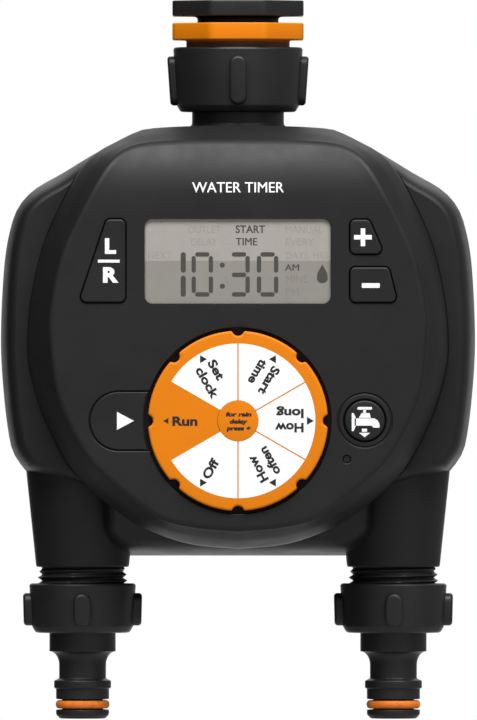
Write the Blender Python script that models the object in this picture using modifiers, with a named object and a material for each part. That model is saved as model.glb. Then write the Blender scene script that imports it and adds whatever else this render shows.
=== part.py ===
"""Two-outlet drip irrigation timer, built piece by piece at real size.

Frame: +Z up, the face looks along -Y, X = 0 is the middle plane, Y = 0 holds the inlet and outlet
axes, and Z = 0 is the plane of the two outlet tips. Dimensions are in millimetres, and MM turns
them into Blender's metres. Angles are in degrees. An outline is a list of (x, z) points, clockwise
seen from the front, and a profile is a list of (radius, height) points.
"""
import math

import bmesh
import bpy
from mathutils import Matrix, Vector

MM = 0.001
GAP = 0.3            # running clearance between neighbouring pieces
WALL = 2.3           # moulded case wall

# Driving dimensions
FRONT = -42.5        # front plane of the dial
BACK = 42.5          # back plane of the case
FACE = -41.0         # flat face of the front cover
FACE_INSIDE = FACE + WALL
SEAM = -20.0         # parting plane between front cover and rear housing
OUTLET_X = 46.0      # outlet axes stand at x = -46 and x = +46
TOP = 212.4          # tap end of the small adapter

ROOT_G34 = 12.0      # root radius of a G3/4 male thread
BORE_G34 = 13.5      # clear bore of a G3/4 female thread
BORE_G1 = 16.95      # clear bore of a G1 female thread
MALE_G1 = 16.5       # outside of a G1 male thread
OCTAGON = 38.8       # width across the flats of both adapters

DIAL_Z = 88.2
DIAL_R = 26.6
DIAL_POCKET_R = 28.0
POCKET_FLOOR = -37.6
POCKET_BACK = -35.8

BROW_Z = 152.0       # the face starts to roll back here
BROW_LENGTH = 25.0
BROW_DEPTH = 10.5

LCD_BOX = (-27.6, 27.4, 122.6, 147.8)     # x low, x high, z low, z high
BUTTON_FRONT = -41.7
BUTTON_TRAVEL = 0.8
VALVE_Z = 118.0
CELL_R = 7.25
CELL_LENGTH = 50.5
MANUAL_PLACE = (37.3, 88.3)               # x, z of the round manual button
LIGHT_PLACE = (32.0, 76.9)                # x, z of the status light
TAB_X = -35.0                             # round end of the pointer tab
AHEAD = -50.0                             # cutters for the face start well in front of it
BEHIND = 50.0                             # and those for the back end well behind it
OUTLINE_STEPS = 22   # points on half of a case outline
SCREW_PLACES = ((-33.0, 162.5), (33.0, 162.5), (-24.0, 64.6), (24.0, 64.6))
HINGE_Y = 40.8
HINGE_Z = 77.2

# Half outlines, right side, from the top centre down to the bottom centre
HOUSING_UPPER = [
    (0, 175.3), (14, 175.1), (24, 174.6), (29.0, 173.8), (36.0, 170.45), (42.9, 167.0), (51.8, 161.6),
    (59.8, 157.0), (64.5, 152.3), (67.2, 146), (69.3, 134), (70.3, 112), (69.3, 94.6), (67.5, 81.5),
    (65.6, 76.8), (62.6, 72.9),
]
POD_OUTLINE = [
    (0, 175.3), (14, 175.1), (24, 174.6), (29.0, 173.8), (36.0, 170.45), (42.6, 166.6), (47.7, 160.3),
    (54.6, 146.8), (58, 137.5), (60.9, 124), (61.9, 111.8), (61.2, 102.9), (56.8, 88.4), (47.9, 72.4),
    (34.6, 60.6), (25.8, 55.6), (13.8, 51.7), (0, 50.4),
]
FACE_OUTLINE = [
    (0, 171.2), (14, 171.1), (24, 170.6), (29.5, 169.8), (33.9, 168.1), (38.2, 164.4), (43, 156.6),
    (50.6, 141.5), (53.7, 132.2), (55.7, 120.9), (55.9, 114.1), (53.7, 96), (46.2, 79.5), (38.3, 70.7),
    (24.2, 59.9), (13.8, 56.7), (0, 55.4),
]


# ---------------------------------------------------------------- collections and materials

def clear_scene():
    for old in list(bpy.data.objects):
        bpy.data.objects.remove(old)


def new_collection(name):
    collection = bpy.data.collections.new(name)
    bpy.context.scene.collection.children.link(collection)
    return collection


def make_material(name, colour, roughness, metallic=0.0, alpha=1.0):
    material = bpy.data.materials.new(name)
    material.use_nodes = True
    shader = material.node_tree.nodes["Principled BSDF"]
    shader.inputs["Base Color"].default_value = (*colour, 1.0)
    shader.inputs["Roughness"].default_value = roughness
    shader.inputs["Metallic"].default_value = metallic
    shader.inputs["Alpha"].default_value = alpha
    return material


clear_scene()
PARTS = new_collection("irrigation_timer")
CUTTERS = new_collection("cutters")

BLACK = make_material("black_plastic", (0.022, 0.022, 0.023), 0.5)
ORANGE = make_material("orange_plastic", (0.83, 0.24, 0.01), 0.4)
WHITE = make_material("white_print", (0.85, 0.85, 0.85), 0.5)
CLEAR = make_material("clear_window", (0.62, 0.6, 0.55), 0.1, alpha=0.4)
LCD = make_material("lcd_glass", (0.45, 0.43, 0.39), 0.3)
RUBBER = make_material("black_rubber", (0.02, 0.02, 0.02), 0.8)
INNER = make_material("grey_plastic", (0.35, 0.36, 0.37), 0.5)
BOARD = make_material("green_board", (0.02, 0.16, 0.06), 0.5)
STEEL = make_material("steel", (0.6, 0.6, 0.6), 0.3, metallic=1.0)
COPPER = make_material("coil_copper", (0.6, 0.24, 0.1), 0.35, metallic=1.0)
CELL = make_material("cell_wrap", (0.5, 0.32, 0.08), 0.4, metallic=0.4)


# ---------------------------------------------------------------- shape helpers

def add_object(name, mesh, material):
    piece = bpy.data.objects.new(name, mesh)
    PARTS.objects.link(piece)
    mesh.materials.clear()
    mesh.materials.append(material)
    mesh.shade_smooth()
    mesh.set_sharp_from_angle(angle=math.radians(35))
    return piece


def rotation_to(axis):
    """The rotation that takes local +Z to the named world direction."""
    turns = {
        "Z": Matrix.Identity(4),
        "Y": Matrix.Rotation(math.radians(-90), 4, "X"),
        "-Y": Matrix.Rotation(math.radians(90), 4, "X"),
        "X": Matrix.Rotation(math.radians(90), 4, "Y"),
    }
    return turns[axis]


def turned(name, profile, material, centre=(0, 0, 0), axis="Z", steps=16):
    """A solid of revolution: (radius, height) points run down the outer side, then up the bore."""
    points = [(r * MM, 0, h * MM) for r, h in profile]
    count = len(points)
    edges = [(k, k + 1) for k in range(count - 1)]
    if profile[0][0] > 0:
        edges.append((count - 1, 0))
    mesh = bpy.data.meshes.new(name)
    mesh.from_pydata(points, edges, [])
    piece = add_object(name, mesh, material)
    spin = piece.modifiers.new("turn", "SCREW")
    spin.steps = steps
    spin.render_steps = steps
    spin.use_merge_vertices = True
    spin.merge_threshold = 0.00001
    spin.use_smooth_shade = True
    piece.matrix_world = Matrix.Translation(Vector(centre) * MM) @ rotation_to(axis)
    return piece


def ring(name, outer, inner, low, high, material, **where):
    return turned(name, [(outer, high), (outer, low), (inner, low), (inner, high)], material, **where)


def disc(name, radius, low, high, material, **where):
    return turned(name, [(0, high), (radius, high), (radius, low), (0, low)], material, **where)


def plate(name, outlines, front, back, material):
    """A flat piece parallel to XZ: closed outlines, holes included, filled from y = front to back."""
    curve = bpy.data.curves.new(name, "CURVE")
    curve.dimensions = "2D"
    curve.fill_mode = "BOTH"
    curve.extrude = (back - front) / 2 * MM
    for outline in outlines:
        spline = curve.splines.new("POLY")
        spline.points.add(len(outline) - 1)
        for point, (x, z) in zip(spline.points, outline):
            point.co = (x * MM, z * MM, 0, 1)
        spline.use_cyclic_u = True
    guide = bpy.data.objects.new(name, curve)
    PARTS.objects.link(guide)
    place = Matrix.Translation((0, (front + back) / 2 * MM, 0)) @ rotation_to("-Y")
    return curve_to_mesh(guide, place, name, material)


def curve_to_mesh(guide, place, name, material):
    """Turn a curve object into a closed mesh object at the matrix `place`."""
    bpy.context.view_layer.update()
    graph = bpy.context.evaluated_depsgraph_get()
    mesh = bpy.data.meshes.new_from_object(guide.evaluated_get(graph))
    bpy.data.objects.remove(guide)
    body = bmesh.new()
    body.from_mesh(mesh)
    bmesh.ops.remove_doubles(body, verts=body.verts, dist=0.000002)
    bmesh.ops.dissolve_limit(body, angle_limit=0.002, verts=body.verts, edges=body.edges)
    bmesh.ops.recalc_face_normals(body, faces=body.faces)
    body.to_mesh(mesh)
    body.free()
    piece = add_object(name, mesh, material)
    piece.matrix_world = place
    return piece


def wire(name, points, radius, material):
    """A round wire or coil through world points in millimetres."""
    curve = bpy.data.curves.new(name, "CURVE")
    curve.dimensions = "3D"
    curve.bevel_depth = radius * MM
    curve.bevel_resolution = 1
    curve.use_fill_caps = True
    spline = curve.splines.new("POLY")
    spline.points.add(len(points) - 1)
    for point, place in zip(spline.points, points):
        point.co = (*(Vector(place) * MM), 1)
    guide = bpy.data.objects.new(name, curve)
    PARTS.objects.link(guide)
    return curve_to_mesh(guide, Matrix.Identity(4), name, material)


def coil_points(centre, axis, radius, low, high, turns, per_turn=8):
    """Points of a helix round a line through `centre` along the named axis."""
    turn = rotation_to(axis)
    points = []
    for k in range(turns * per_turn + 1):
        angle = math.tau * k / per_turn
        height = low + (high - low) * k / (turns * per_turn)
        local = Vector((radius * math.cos(angle), radius * math.sin(angle), height))
        points.append(Vector(centre) + turn @ local)
    return points


def box(name, low, high, material):
    """A cuboid between two corners."""
    low, high = Vector(low) * MM, Vector(high) * MM
    bpy.ops.mesh.primitive_cube_add(size=1)
    cube = bpy.context.object
    mesh = cube.data
    bpy.data.objects.remove(cube)
    mesh.transform(Matrix.Diagonal((*(high - low), 1)))
    piece = add_object(name, mesh, material)
    piece.location = (low + high) / 2
    return piece


def merge_tools(name, tools):
    """One object holding several tools, which may overlap each other, for a single Boolean."""
    bpy.context.view_layer.update()
    graph = bpy.context.evaluated_depsgraph_get()
    body = bmesh.new()
    for tool in tools:
        mesh = bpy.data.meshes.new_from_object(tool.evaluated_get(graph))
        mesh.transform(tool.matrix_world)
        body.from_mesh(mesh)
        bpy.data.objects.remove(tool)
    mesh = bpy.data.meshes.new(name)
    body.to_mesh(mesh)
    body.free()
    return add_object(name, mesh, BLACK)


def combine(target, tools, operation):
    """Join or cut the target with all the tools at once, and file them with the cutters."""
    tool = merge_tools(operation.lower() + "_" + target.name, tools)
    PARTS.objects.unlink(tool)
    CUTTERS.objects.link(tool)
    tool.hide_render = True
    tool.display_type = "WIRE"
    step = target.modifiers.new(operation.lower(), "BOOLEAN")
    step.operation = operation
    step.solver = "EXACT"
    step.use_self = len(tools) > 1
    step.object = tool


def cut(target, *tools):
    combine(target, tools, "DIFFERENCE")


def join(target, *tools):
    combine(target, tools, "UNION")


def around(tool, count, centre=(0, 0, 0), axis="Z"):
    """Copies of one tool, turned about a line, held in one object."""
    bpy.context.view_layer.update()
    source = tool.data.copy()
    source.transform(tool.matrix_world)
    body = bmesh.new()
    middle = Vector(centre) * MM
    for k in range(count):
        copy = source.copy()
        spin = Matrix.Rotation(math.tau * k / count, 4, axis)
        copy.transform(Matrix.Translation(middle) @ spin @ Matrix.Translation(-middle))
        body.from_mesh(copy)
    mesh = bpy.data.meshes.new(tool.name + "_set")
    body.to_mesh(mesh)
    body.free()
    bpy.data.objects.remove(tool)
    return add_object(mesh.name, mesh, BLACK)


# ---------------------------------------------------------------- outlines

def smooth_path(points, per_span=8):
    """A Catmull-Rom curve through the points, as a dense polyline."""
    path = []
    last = len(points) - 1
    for k in range(last):
        p0 = Vector(points[max(k - 1, 0)])
        p1 = Vector(points[k])
        p2 = Vector(points[k + 1])
        p3 = Vector(points[min(k + 2, last)])
        for step in range(per_span):
            t = step / per_span
            bend = (2 * p0 - 5 * p1 + 4 * p2 - p3) * t * t + (3 * p1 - p0 - 3 * p2 + p3) * t ** 3
            path.append((2 * p1 + (p2 - p0) * t + bend) / 2)
    path.append(Vector(points[last]))
    return path


def resample(path, count):
    """`count` + 1 points at equal steps along a polyline."""
    reach = [0.0]
    for a, b in zip(path, path[1:]):
        reach.append(reach[-1] + (b - a).length)
    points = []
    span = 0
    for k in range(count + 1):
        want = reach[-1] * k / count
        while span < len(path) - 2 and reach[span + 1] < want:
            span += 1
        share = (want - reach[span]) / (reach[span + 1] - reach[span])
        points.append(path[span].lerp(path[span + 1], share))
    return points


def mirrored(half):
    """A closed outline from a right half that starts and ends on the middle line."""
    right = [(p[0], p[1]) for p in half]
    left = [(-x, z) for x, z in right[1:-1]]
    return right + left[::-1]


def inset(outline, distance):
    """Move each point of a clockwise outline inwards, square to the line through its neighbours."""
    moved = []
    count = len(outline)
    for k, (x, z) in enumerate(outline):
        before = Vector(outline[k - 1])
        after = Vector(outline[(k + 1) % count])
        along = (after - before).normalized()
        moved.append((x + along.y * distance, z - along.x * distance))
    return moved


def arc(centre, radius, start, end, steps):
    """Points on an arc, angles in degrees anticlockwise from +X."""
    points = []
    for k in range(steps + 1):
        angle = math.radians(start + (end - start) * k / steps)
        points.append((centre[0] + radius * math.cos(angle), centre[1] + radius * math.sin(angle)))
    return points


def circle(centre, radius, steps=24):
    return arc(centre, radius, 0, 360 - 360 / steps, steps - 1)


def rounded(corners, radius, steps=3):
    """A polygon with every corner replaced by an arc of the given radius."""
    outline = []
    count = len(corners)
    for k, corner in enumerate(corners):
        here = Vector(corner)
        towards_a = (Vector(corners[k - 1]) - here).normalized()
        towards_b = (Vector(corners[(k + 1) % count]) - here).normalized()
        half_angle = towards_a.angle(towards_b) / 2
        reach = radius / math.tan(half_angle)
        middle = here + (towards_a + towards_b).normalized() * (radius / math.sin(half_angle))
        start = here + towards_a * reach - middle
        sweep = start.angle_signed(here + towards_b * reach - middle)
        for step in range(steps + 1):
            turn = Matrix.Rotation(-sweep * step / steps, 2)
            outline.append(tuple(middle + turn @ start))
    return outline


def rectangle(x_low, x_high, z_low, z_high):
    return [(x_low, z_low), (x_low, z_high), (x_high, z_high), (x_high, z_low)]


def grow_box(x_low, x_high, z_low, z_high, by):
    return rectangle(x_low - by, x_high + by, z_low - by, z_high + by)


def stadium(x, z_low, z_high, width, steps=3):
    half = width / 2
    top = arc((x, z_high - half), half, 0, 180, steps)
    return top + arc((x, z_low + half), half, 180, 360, steps)


def housing_outline():
    upper = resample(smooth_path(HOUSING_UPPER), OUTLINE_STEPS - 4)
    lip = [Vector((52.5, 69.6)), Vector((43.0, 66.3)), Vector((41.4, 65.0)), Vector((41.1, 62.5))]
    belly = [Vector(p) for p in arc((31.6, 57.6), 9.5, 0, -90, 4)]
    return mirrored(upper + lip + belly + [Vector((0, 48.1))])


def pod_outline():
    return mirrored(resample(smooth_path(POD_OUTLINE), OUTLINE_STEPS))


def face_outline():
    return mirrored(resample(smooth_path(FACE_OUTLINE), OUTLINE_STEPS))


# ---------------------------------------------------------------- case

def blend_outlines(a, b, share):
    return [tuple(Vector(p).lerp(Vector(q), share)) for p, q in zip(a, b)]


def loft(name, sections, material):
    """A closed solid through sections of equal point count, each (outline, y), from front to back."""
    body = bmesh.new()
    rings = []
    for outline, y in sections:
        rings.append([body.verts.new((x * MM, y * MM, z * MM)) for x, z in outline])
    for front, back in zip(rings, rings[1:]):
        for k in range(len(front)):
            n = (k + 1) % len(front)
            body.faces.new((front[k], front[n], back[n], back[k]))
    body.faces.new(rings[0][::-1])
    body.faces.new(rings[-1])
    bmesh.ops.recalc_face_normals(body, faces=body.faces)
    mesh = bpy.data.meshes.new(name)
    body.to_mesh(mesh)
    body.free()
    return add_object(name, mesh, material)


def pod_block(name, thinner, back, material):
    """The cover's outer form, or its hollow when `thinner` is the wall, up to the plane y = back."""
    pod = inset(pod_outline(), thinner)
    face = inset(face_outline(), thinner)
    front = FACE + thinner
    seam = SEAM - GAP
    sections = [
        (inset(face, 1.3), front),
        (inset(face, 0.4), front + 0.35),
        (face, front + 1.3),
        (blend_outlines(face, pod, 0.55), front + 8.0),
        (blend_outlines(face, pod, 0.93), seam - 6.0),
        (pod, seam),
    ]
    if back > seam:
        sections.append((pod, back))
    return loft(name, sections, material)


def brow_cutter(name, thinner):
    """Everything in front of the brow, where the face rolls back towards the top edge."""
    roll = []
    for k in range(9):
        rise = BROW_LENGTH * k / 8
        roll.append((FACE + thinner - 0.2 + BROW_DEPTH * (k / 8) ** 2.2, BROW_Z + rise))
    side = [(-60.0, BROW_Z)] + roll + [(-60.0, BROW_Z + BROW_LENGTH)]
    body = bmesh.new()
    left = [body.verts.new((-80 * MM, y * MM, z * MM)) for y, z in side]
    right = [body.verts.new((80 * MM, y * MM, z * MM)) for y, z in side]
    for k in range(len(side)):
        n = (k + 1) % len(side)
        body.faces.new((left[k], left[n], right[n], right[k]))
    body.faces.new(left[::-1])
    body.faces.new(right)
    bmesh.ops.recalc_face_normals(body, faces=body.faces)
    mesh = bpy.data.meshes.new(name)
    body.to_mesh(mesh)
    body.free()
    return add_object(name, mesh, BLACK)


def button_outlines():
    """The outline of each shaped button, clockwise from its lower left corner."""
    return {
        "left_right_button": rounded([(-47.3, 122.8), (-38.9, 147.8), (-32.8, 147.8), (-32.8, 122.8)], 1.6),
        "plus_button": rounded([(32.65, 137.0), (32.65, 147.7), (38.8, 147.7), (43.5, 137.0)], 1.4),
        "minus_button": rounded([(32.65, 122.8), (32.65, 133.7), (44.6, 133.7), (47.3, 122.8)], 1.4),
    }


def widen(outline, distance):
    return inset(outline, -distance)


def build_front_cover():
    cover = pod_block("front_cover", 0.0, SEAM - GAP, BLACK)
    cut(cover, brow_cutter("brow", 0.0))
    hollow = pod_block("hollow", WALL, SEAM + 5.0, BLACK)
    cut(hollow, brow_cutter("inner_brow", WALL))
    cut(cover, hollow)
    dial = {"centre": (0, 0, DIAL_Z), "axis": "Y"}
    manual = {"centre": (MANUAL_PLACE[0], 0, MANUAL_PLACE[1]), "axis": "Y"}
    root = FACE_INSIDE + 0.8
    boss = [(0, -16.0), (1.6, -16.0), (1.6, -2.0), (3.2, -2.0), (3.2, root), (0, root)]
    bosses = [turned("boss", boss, BLACK, centre=(x, 0, z), axis="Y", steps=8) for x, z in SCREW_PLACES]
    pocket = disc("pocket", DIAL_POCKET_R + 2.0, FACE + 1.0, POCKET_BACK, BLACK, steps=32, **dial)
    join(cover, pocket, *bosses)
    light = {"centre": (LIGHT_PLACE[0], 0, LIGHT_PLACE[1]), "axis": "Y"}
    through = FACE_INSIDE + 2.7
    tools = [disc("dial_cut", DIAL_POCKET_R, AHEAD, POCKET_FLOOR, BLACK, steps=40, **dial)]
    tools.append(disc("spindle_cut", 2.6, AHEAD, POCKET_BACK + 5.8, BLACK, steps=16, **dial))
    tools.append(plate("lcd_cut", [rounded(grow_box(*LCD_BOX, GAP), 2.5, 4)], AHEAD, through, BLACK))
    for name, outline in button_outlines().items():
        tools.append(plate(name + "_cut", [widen(outline, 0.45)], AHEAD, through, BLACK))
    tools.append(disc("manual_cut", 6.3, AHEAD, through, BLACK, steps=16, **manual))
    tools.append(ring("manual_groove", 8.2, 7.6, AHEAD, FACE + 0.5, BLACK, steps=16, **manual))
    tools.append(disc("light_cut", 1.25, AHEAD, through, BLACK, steps=12, **light))
    tools.append(plate("tab_cut", [tab_outline(8.9, DIAL_POCKET_R - 1.0)], AHEAD, FACE + 1.4, BLACK))
    cut(cover, *tools)
    return cover


def tab_outline(radius, stop):
    """A tongue left of the dial: round at its left end, hollow against the dial at its right."""
    angle = math.degrees(math.asin(radius / stop))
    left = arc((TAB_X, DIAL_Z), radius, 90, 270, 10)
    return left + arc((0, DIAL_Z), stop, 180 + angle, 180 - angle, 6)


def build_rear_housing():
    outline = housing_outline()
    front = [(3.0, SEAM), (1.4, SEAM + 0.5), (0.4, SEAM + 1.6), (0.0, SEAM + 3.4)]
    back = [(0.0, 32.0), (0.7, 36.5), (2.6, 40.0), (5.5, 41.9), (8.5, BACK)]
    sections = [(inset(outline, d), y) for d, y in front + back]
    housing = loft("rear_housing", sections, BLACK)
    legs = [turned("leg", [(0, 80), (17.5, 80), (13.7, 44.7), (0, 44.7)], BLACK,
                   centre=(side * OUTLET_X, 0, 0), steps=24) for side in (-1, 1)]
    join(housing, *legs)
    inner = inset(outline, WALL)
    cavity = [(inner, SEAM + WALL), (inner, 31.5), (inset(inner, 3.0), 38.0), (inset(inner, 6.2), 40.2)]
    opening = inset(pod_outline(), 3.4)
    cut(housing, loft("cavity", cavity, BLACK), plate("mouth", [opening], SEAM - 5, SEAM + 6, BLACK))
    frame = plate("door_frame", [rounded(rectangle(-28, 28, 72.5, 141), 4)], 35.8, 41.0, BLACK)
    wells = [disc("well", 4.8, 4.0, 41.0, BLACK, centre=(x, 0, z), axis="Y", steps=8)
             for x, z in SCREW_PLACES]
    join(housing, frame, *wells)
    tools = []
    for x, z in SCREW_PLACES:
        tools.append(disc("head_cut", 3.0, 7.5, BEHIND, BLACK, centre=(x, 0, z), axis="Y", steps=8))
        tools.append(disc("shank_cut", 1.9, 0.0, 10.0, BLACK, centre=(x, 0, z), axis="Y", steps=8))
    for side in (-1, 1):
        tools.append(disc("leg_cut", 12.5, 40.0, 76.0, BLACK, centre=(side * OUTLET_X, 0, 0), steps=20))
    tools.append(disc("neck_cut", 13.9, 168.0, 180.0, BLACK, steps=20))
    tools.append(plate("door_recess", [rounded(rectangle(-24, 24, 75.2, 137), 0.7, 2)], 38.8, BEHIND, BLACK))
    tools.append(plate("door_way", [rounded(rectangle(-20.5, 20.5, 80.5, 132), 3)], 30, 45, BLACK))
    tools.append(disc("pin_cut", 1.1, -26.2, 26.2, BLACK, centre=(0, HINGE_Y, HINGE_Z), axis="X", steps=8))
    cut(housing, *tools)
    return housing


def build_case_trim():
    plate("cover_gasket", [inset(pod_outline(), 3.7), inset(pod_outline(), 5.0)], SEAM - 1.2, SEAM + 3.0,
          RUBBER)
    for number, (x, z) in enumerate(SCREW_PLACES, 1):
        profile = [(0, 10.3), (2.7, 10.3), (2.7, 7.8), (1.3, 7.8), (1.3, -12.0), (0, -12.0)]
        turned("case_screw_" + str(number), profile, STEEL, centre=(x, 0, z), axis="Y", steps=12)


# ---------------------------------------------------------------- face: display, dial, buttons

def build_display():
    x_low, x_high, z_low, z_high = LCD_BOX
    plate("lcd_window", [rounded(rectangle(*LCD_BOX), 2.2, 4)], FACE + 0.25, FACE + 1.9, CLEAR)
    box("lcd_module", (x_low - 2, -38.3, z_low - 2), (x_high + 2, -36.7, z_high + 2), LCD)


def build_dial():
    where = {"centre": (0, 0, DIAL_Z), "axis": "-Y"}
    profile = [(DIAL_R - 0.4, -FRONT), (DIAL_R, -FRONT - 0.4), (DIAL_R, 38.0), (2.7, 38.0), (2.7, 41.6),
               (22.9, 41.6), (22.9, -FRONT)]
    dial = turned("mode_dial", profile, ORANGE, steps=40, **where)
    notch = box("notch", (-1.7, -45, DIAL_Z + DIAL_R - 1.5), (1.7, -35, DIAL_Z + DIAL_R + 3), ORANGE)
    cut(dial, around(notch, 8, centre=(0, 0, DIAL_Z), axis="Y"))
    ring("dial_label", 22.6, 6.3, 41.9, 42.3, WHITE, steps=32, **where)
    disc("dial_hub_cap", 6.0, 41.9, 42.4, ORANGE, steps=16, **where)
    spindle = [(0, 41.3), (2.3, 41.3), (2.3, 35.3), (4.0, 35.3), (4.0, 34.4), (2.3, 34.4), (2.3, 27.5),
               (0, 27.5)]
    turned("dial_spindle", spindle, STEEL, steps=16, **where)
    switch = box("rotary_switch", (-7.5, -32.0, DIAL_Z - 7.5), (7.5, -27.0, DIAL_Z + 7.5), INNER)
    cut(switch, disc("switch_bore", 2.6, 20, 40, INNER, steps=16, **where))
    plate("pointer_tab", [tab_outline(8.5, DIAL_POCKET_R + 0.4)], FACE + 0.15, FACE + 1.1, BLACK)


def build_buttons():
    for name, outline in button_outlines().items():
        button = plate(name, [outline], BUTTON_FRONT, FACE_INSIDE + 1.0, BLACK)
        join(button, plate("flange", [widen(outline, 1.0)], FACE_INSIDE + 0.3, FACE_INSIDE + 1.0, BLACK))
    where = {"centre": (MANUAL_PLACE[0], 0, MANUAL_PLACE[1]), "axis": "-Y"}
    profile = [(0, 41.7), (5.9, 41.7), (5.9, 38.4), (7.2, 38.4), (7.2, 37.7), (1.6, 37.7), (1.6, 35.4),
               (0, 35.4)]
    turned("manual_button", profile, BLACK, steps=16, **where)
    box("manual_switch", (34.3, -36.2 + BUTTON_TRAVEL + 1.1, 85.3), (40.3, -33.9, 91.3), INNER)
    light = {"centre": (LIGHT_PLACE[0], 0, LIGHT_PLACE[1]), "axis": "-Y"}
    disc("status_light", 0.95, 38.3, 40.9, ORANGE, steps=12, **light)
    lcd_hole = grow_box(*LCD_BOX, 2.5)
    sheet = rounded([(-46, 119), (-46, 140), (-36, 154), (36, 154), (46, 140), (46, 119)], 2)
    plate("keypad_membrane", [sheet, lcd_hole], -36.4, -35.6, RUBBER)


def build_board():
    board = [(-44, 118), (-44, 140), (-37, 154), (37, 154), (44, 140), (44, 118), (40, 78), (30, 73),
             (14, 70), (-14, 70), (-30, 73), (-40, 78)]
    plate("circuit_board", [rounded(board, 2, 2), circle((0, DIAL_Z), 4.6, 16)], -33.6, -32.3, BOARD)


# ---------------------------------------------------------------- water way

def build_manifold():
    """Inlet spigot, cross pipe, two valve seats and two threaded outlets, moulded as one piece."""
    spigot = [(0, 187.6), (10.6, 187.6), (11.0, 187.2), (11.0, 186.8), (10.0, 186.8), (10.0, 183.8),
              (11.0, 183.8), (11.0, 179.1), (13.55, 179.1), (13.55, 165.0), (10.0, 163.0), (10.0, 146.0),
              (0, 146.0)]
    manifold = turned("water_manifold", spigot, INNER, steps=20)
    outlet = [(0, 110), (8.5, 110), (8.5, 52), (ROOT_G34, 47), (ROOT_G34, 44.4), (11.4, 44.0), (11.4, 43.2),
              (ROOT_G34, 42.6), (ROOT_G34, 30.9), (11.4, 30.4), (0, 30.4)]
    pipes = [disc("cross", 7.5, -47, 47, INNER, centre=(0, 2, 150), axis="X", steps=12)]
    ways = [disc("inlet_way", 7.6, 151, 195, INNER, steps=12)]
    ways.append(disc("cross_way", 5.0, -45, 45, INNER, centre=(0, 2, 150), axis="X", steps=8))
    for side in (-1, 1):
        x = side * OUTLET_X
        pipes.append(turned("outlet", outlet, INNER, centre=(x, 0, 0), steps=20))
        pipes.append(disc("riser", 7.4, 120, 156, INNER, centre=(x, 2, 0), steps=12))
        pipes.append(disc("valve_body", 14.0, -9, 10, INNER, centre=(x, 0, VALVE_Z), axis="Y", steps=16))
        ways.append(disc("outlet_way", 5.0, 20, VALVE_Z, INNER, centre=(x, 0, 0), steps=8))
        ways.append(disc("seat_way", 4.5, -1, 15, INNER, centre=(x, 0, VALVE_Z), axis="Y", steps=8))
        ways.append(ring("annulus", 12.0, 6.5, 6.6, 15, INNER, centre=(x, 0, VALVE_Z), axis="Y", steps=12))
        ways.append(disc("riser_way", 2.8, 128, 151, INNER, centre=(x, 5.6, 0), steps=8))
    join(manifold, *pipes)
    cut(manifold, *ways)
    return manifold


def build_valve(side_name, side):
    """Diaphragm, bonnet, coil, plunger and return spring on one valve seat, in order along +Y."""
    where = {"centre": (side * OUTLET_X, 0, VALVE_Z), "axis": "Y", "steps": 12}
    diaphragm = [(0, 12.2), (6.5, 12.2), (8.0, 11.4), (10.0, 11.4), (11.0, 12.0), (13.0, 12.0), (13.0, 10.4),
                 (0, 10.4)]
    turned(side_name + "_diaphragm", diaphragm, RUBBER, **where)
    bonnet = [(0, 34.0), (4.3, 34.0), (4.3, 18.0), (14.0, 18.0), (14.0, 12.4), (11.5, 12.4), (11.5, 15.5),
              (3.35, 15.5), (3.35, 32.6), (0, 32.6)]
    turned(side_name + "_valve_bonnet", bonnet, INNER, **where)
    ring(side_name + "_solenoid_coil", 9.0, 4.65, 18.3, 32.0, COPPER, **where)
    disc(side_name + "_plunger", 3.0, 12.6, 25.6, STEEL, **where)
    spring = coil_points((side * OUTLET_X, 0, VALVE_Z), "Y", 2.2, 26.3, 31.8, 3)
    wire(side_name + "_plunger_spring", spring, 0.3, STEEL)
    x_coil = side * (OUTLET_X - 9.0 - GAP)
    x_board = side * 29
    lead = [(x_coil, 27, VALVE_Z), (x_board + side * 2, 27, VALVE_Z), (x_board, 25, VALVE_Z),
            (x_board, -31.9, VALVE_Z)]
    wire(side_name + "_valve_lead", lead, 0.7, RUBBER)


def octagon(name, flats, low, high, material):
    """A flange with eight flats, one of them facing the front."""
    radius = flats / 2 / math.cos(math.radians(22.5))
    flange = disc(name, radius, low, high, material, steps=8)
    flange.rotation_euler.z = math.radians(22.5)
    return flange


def rib_set(x, z_low, z_high, width, inner, outer, centre_x):
    rib = plate("rib", [stadium(x, z_low, z_high, width)], -outer, -inner, BLACK)
    return around(rib, 4, centre=(centre_x, 0, 0))


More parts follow.
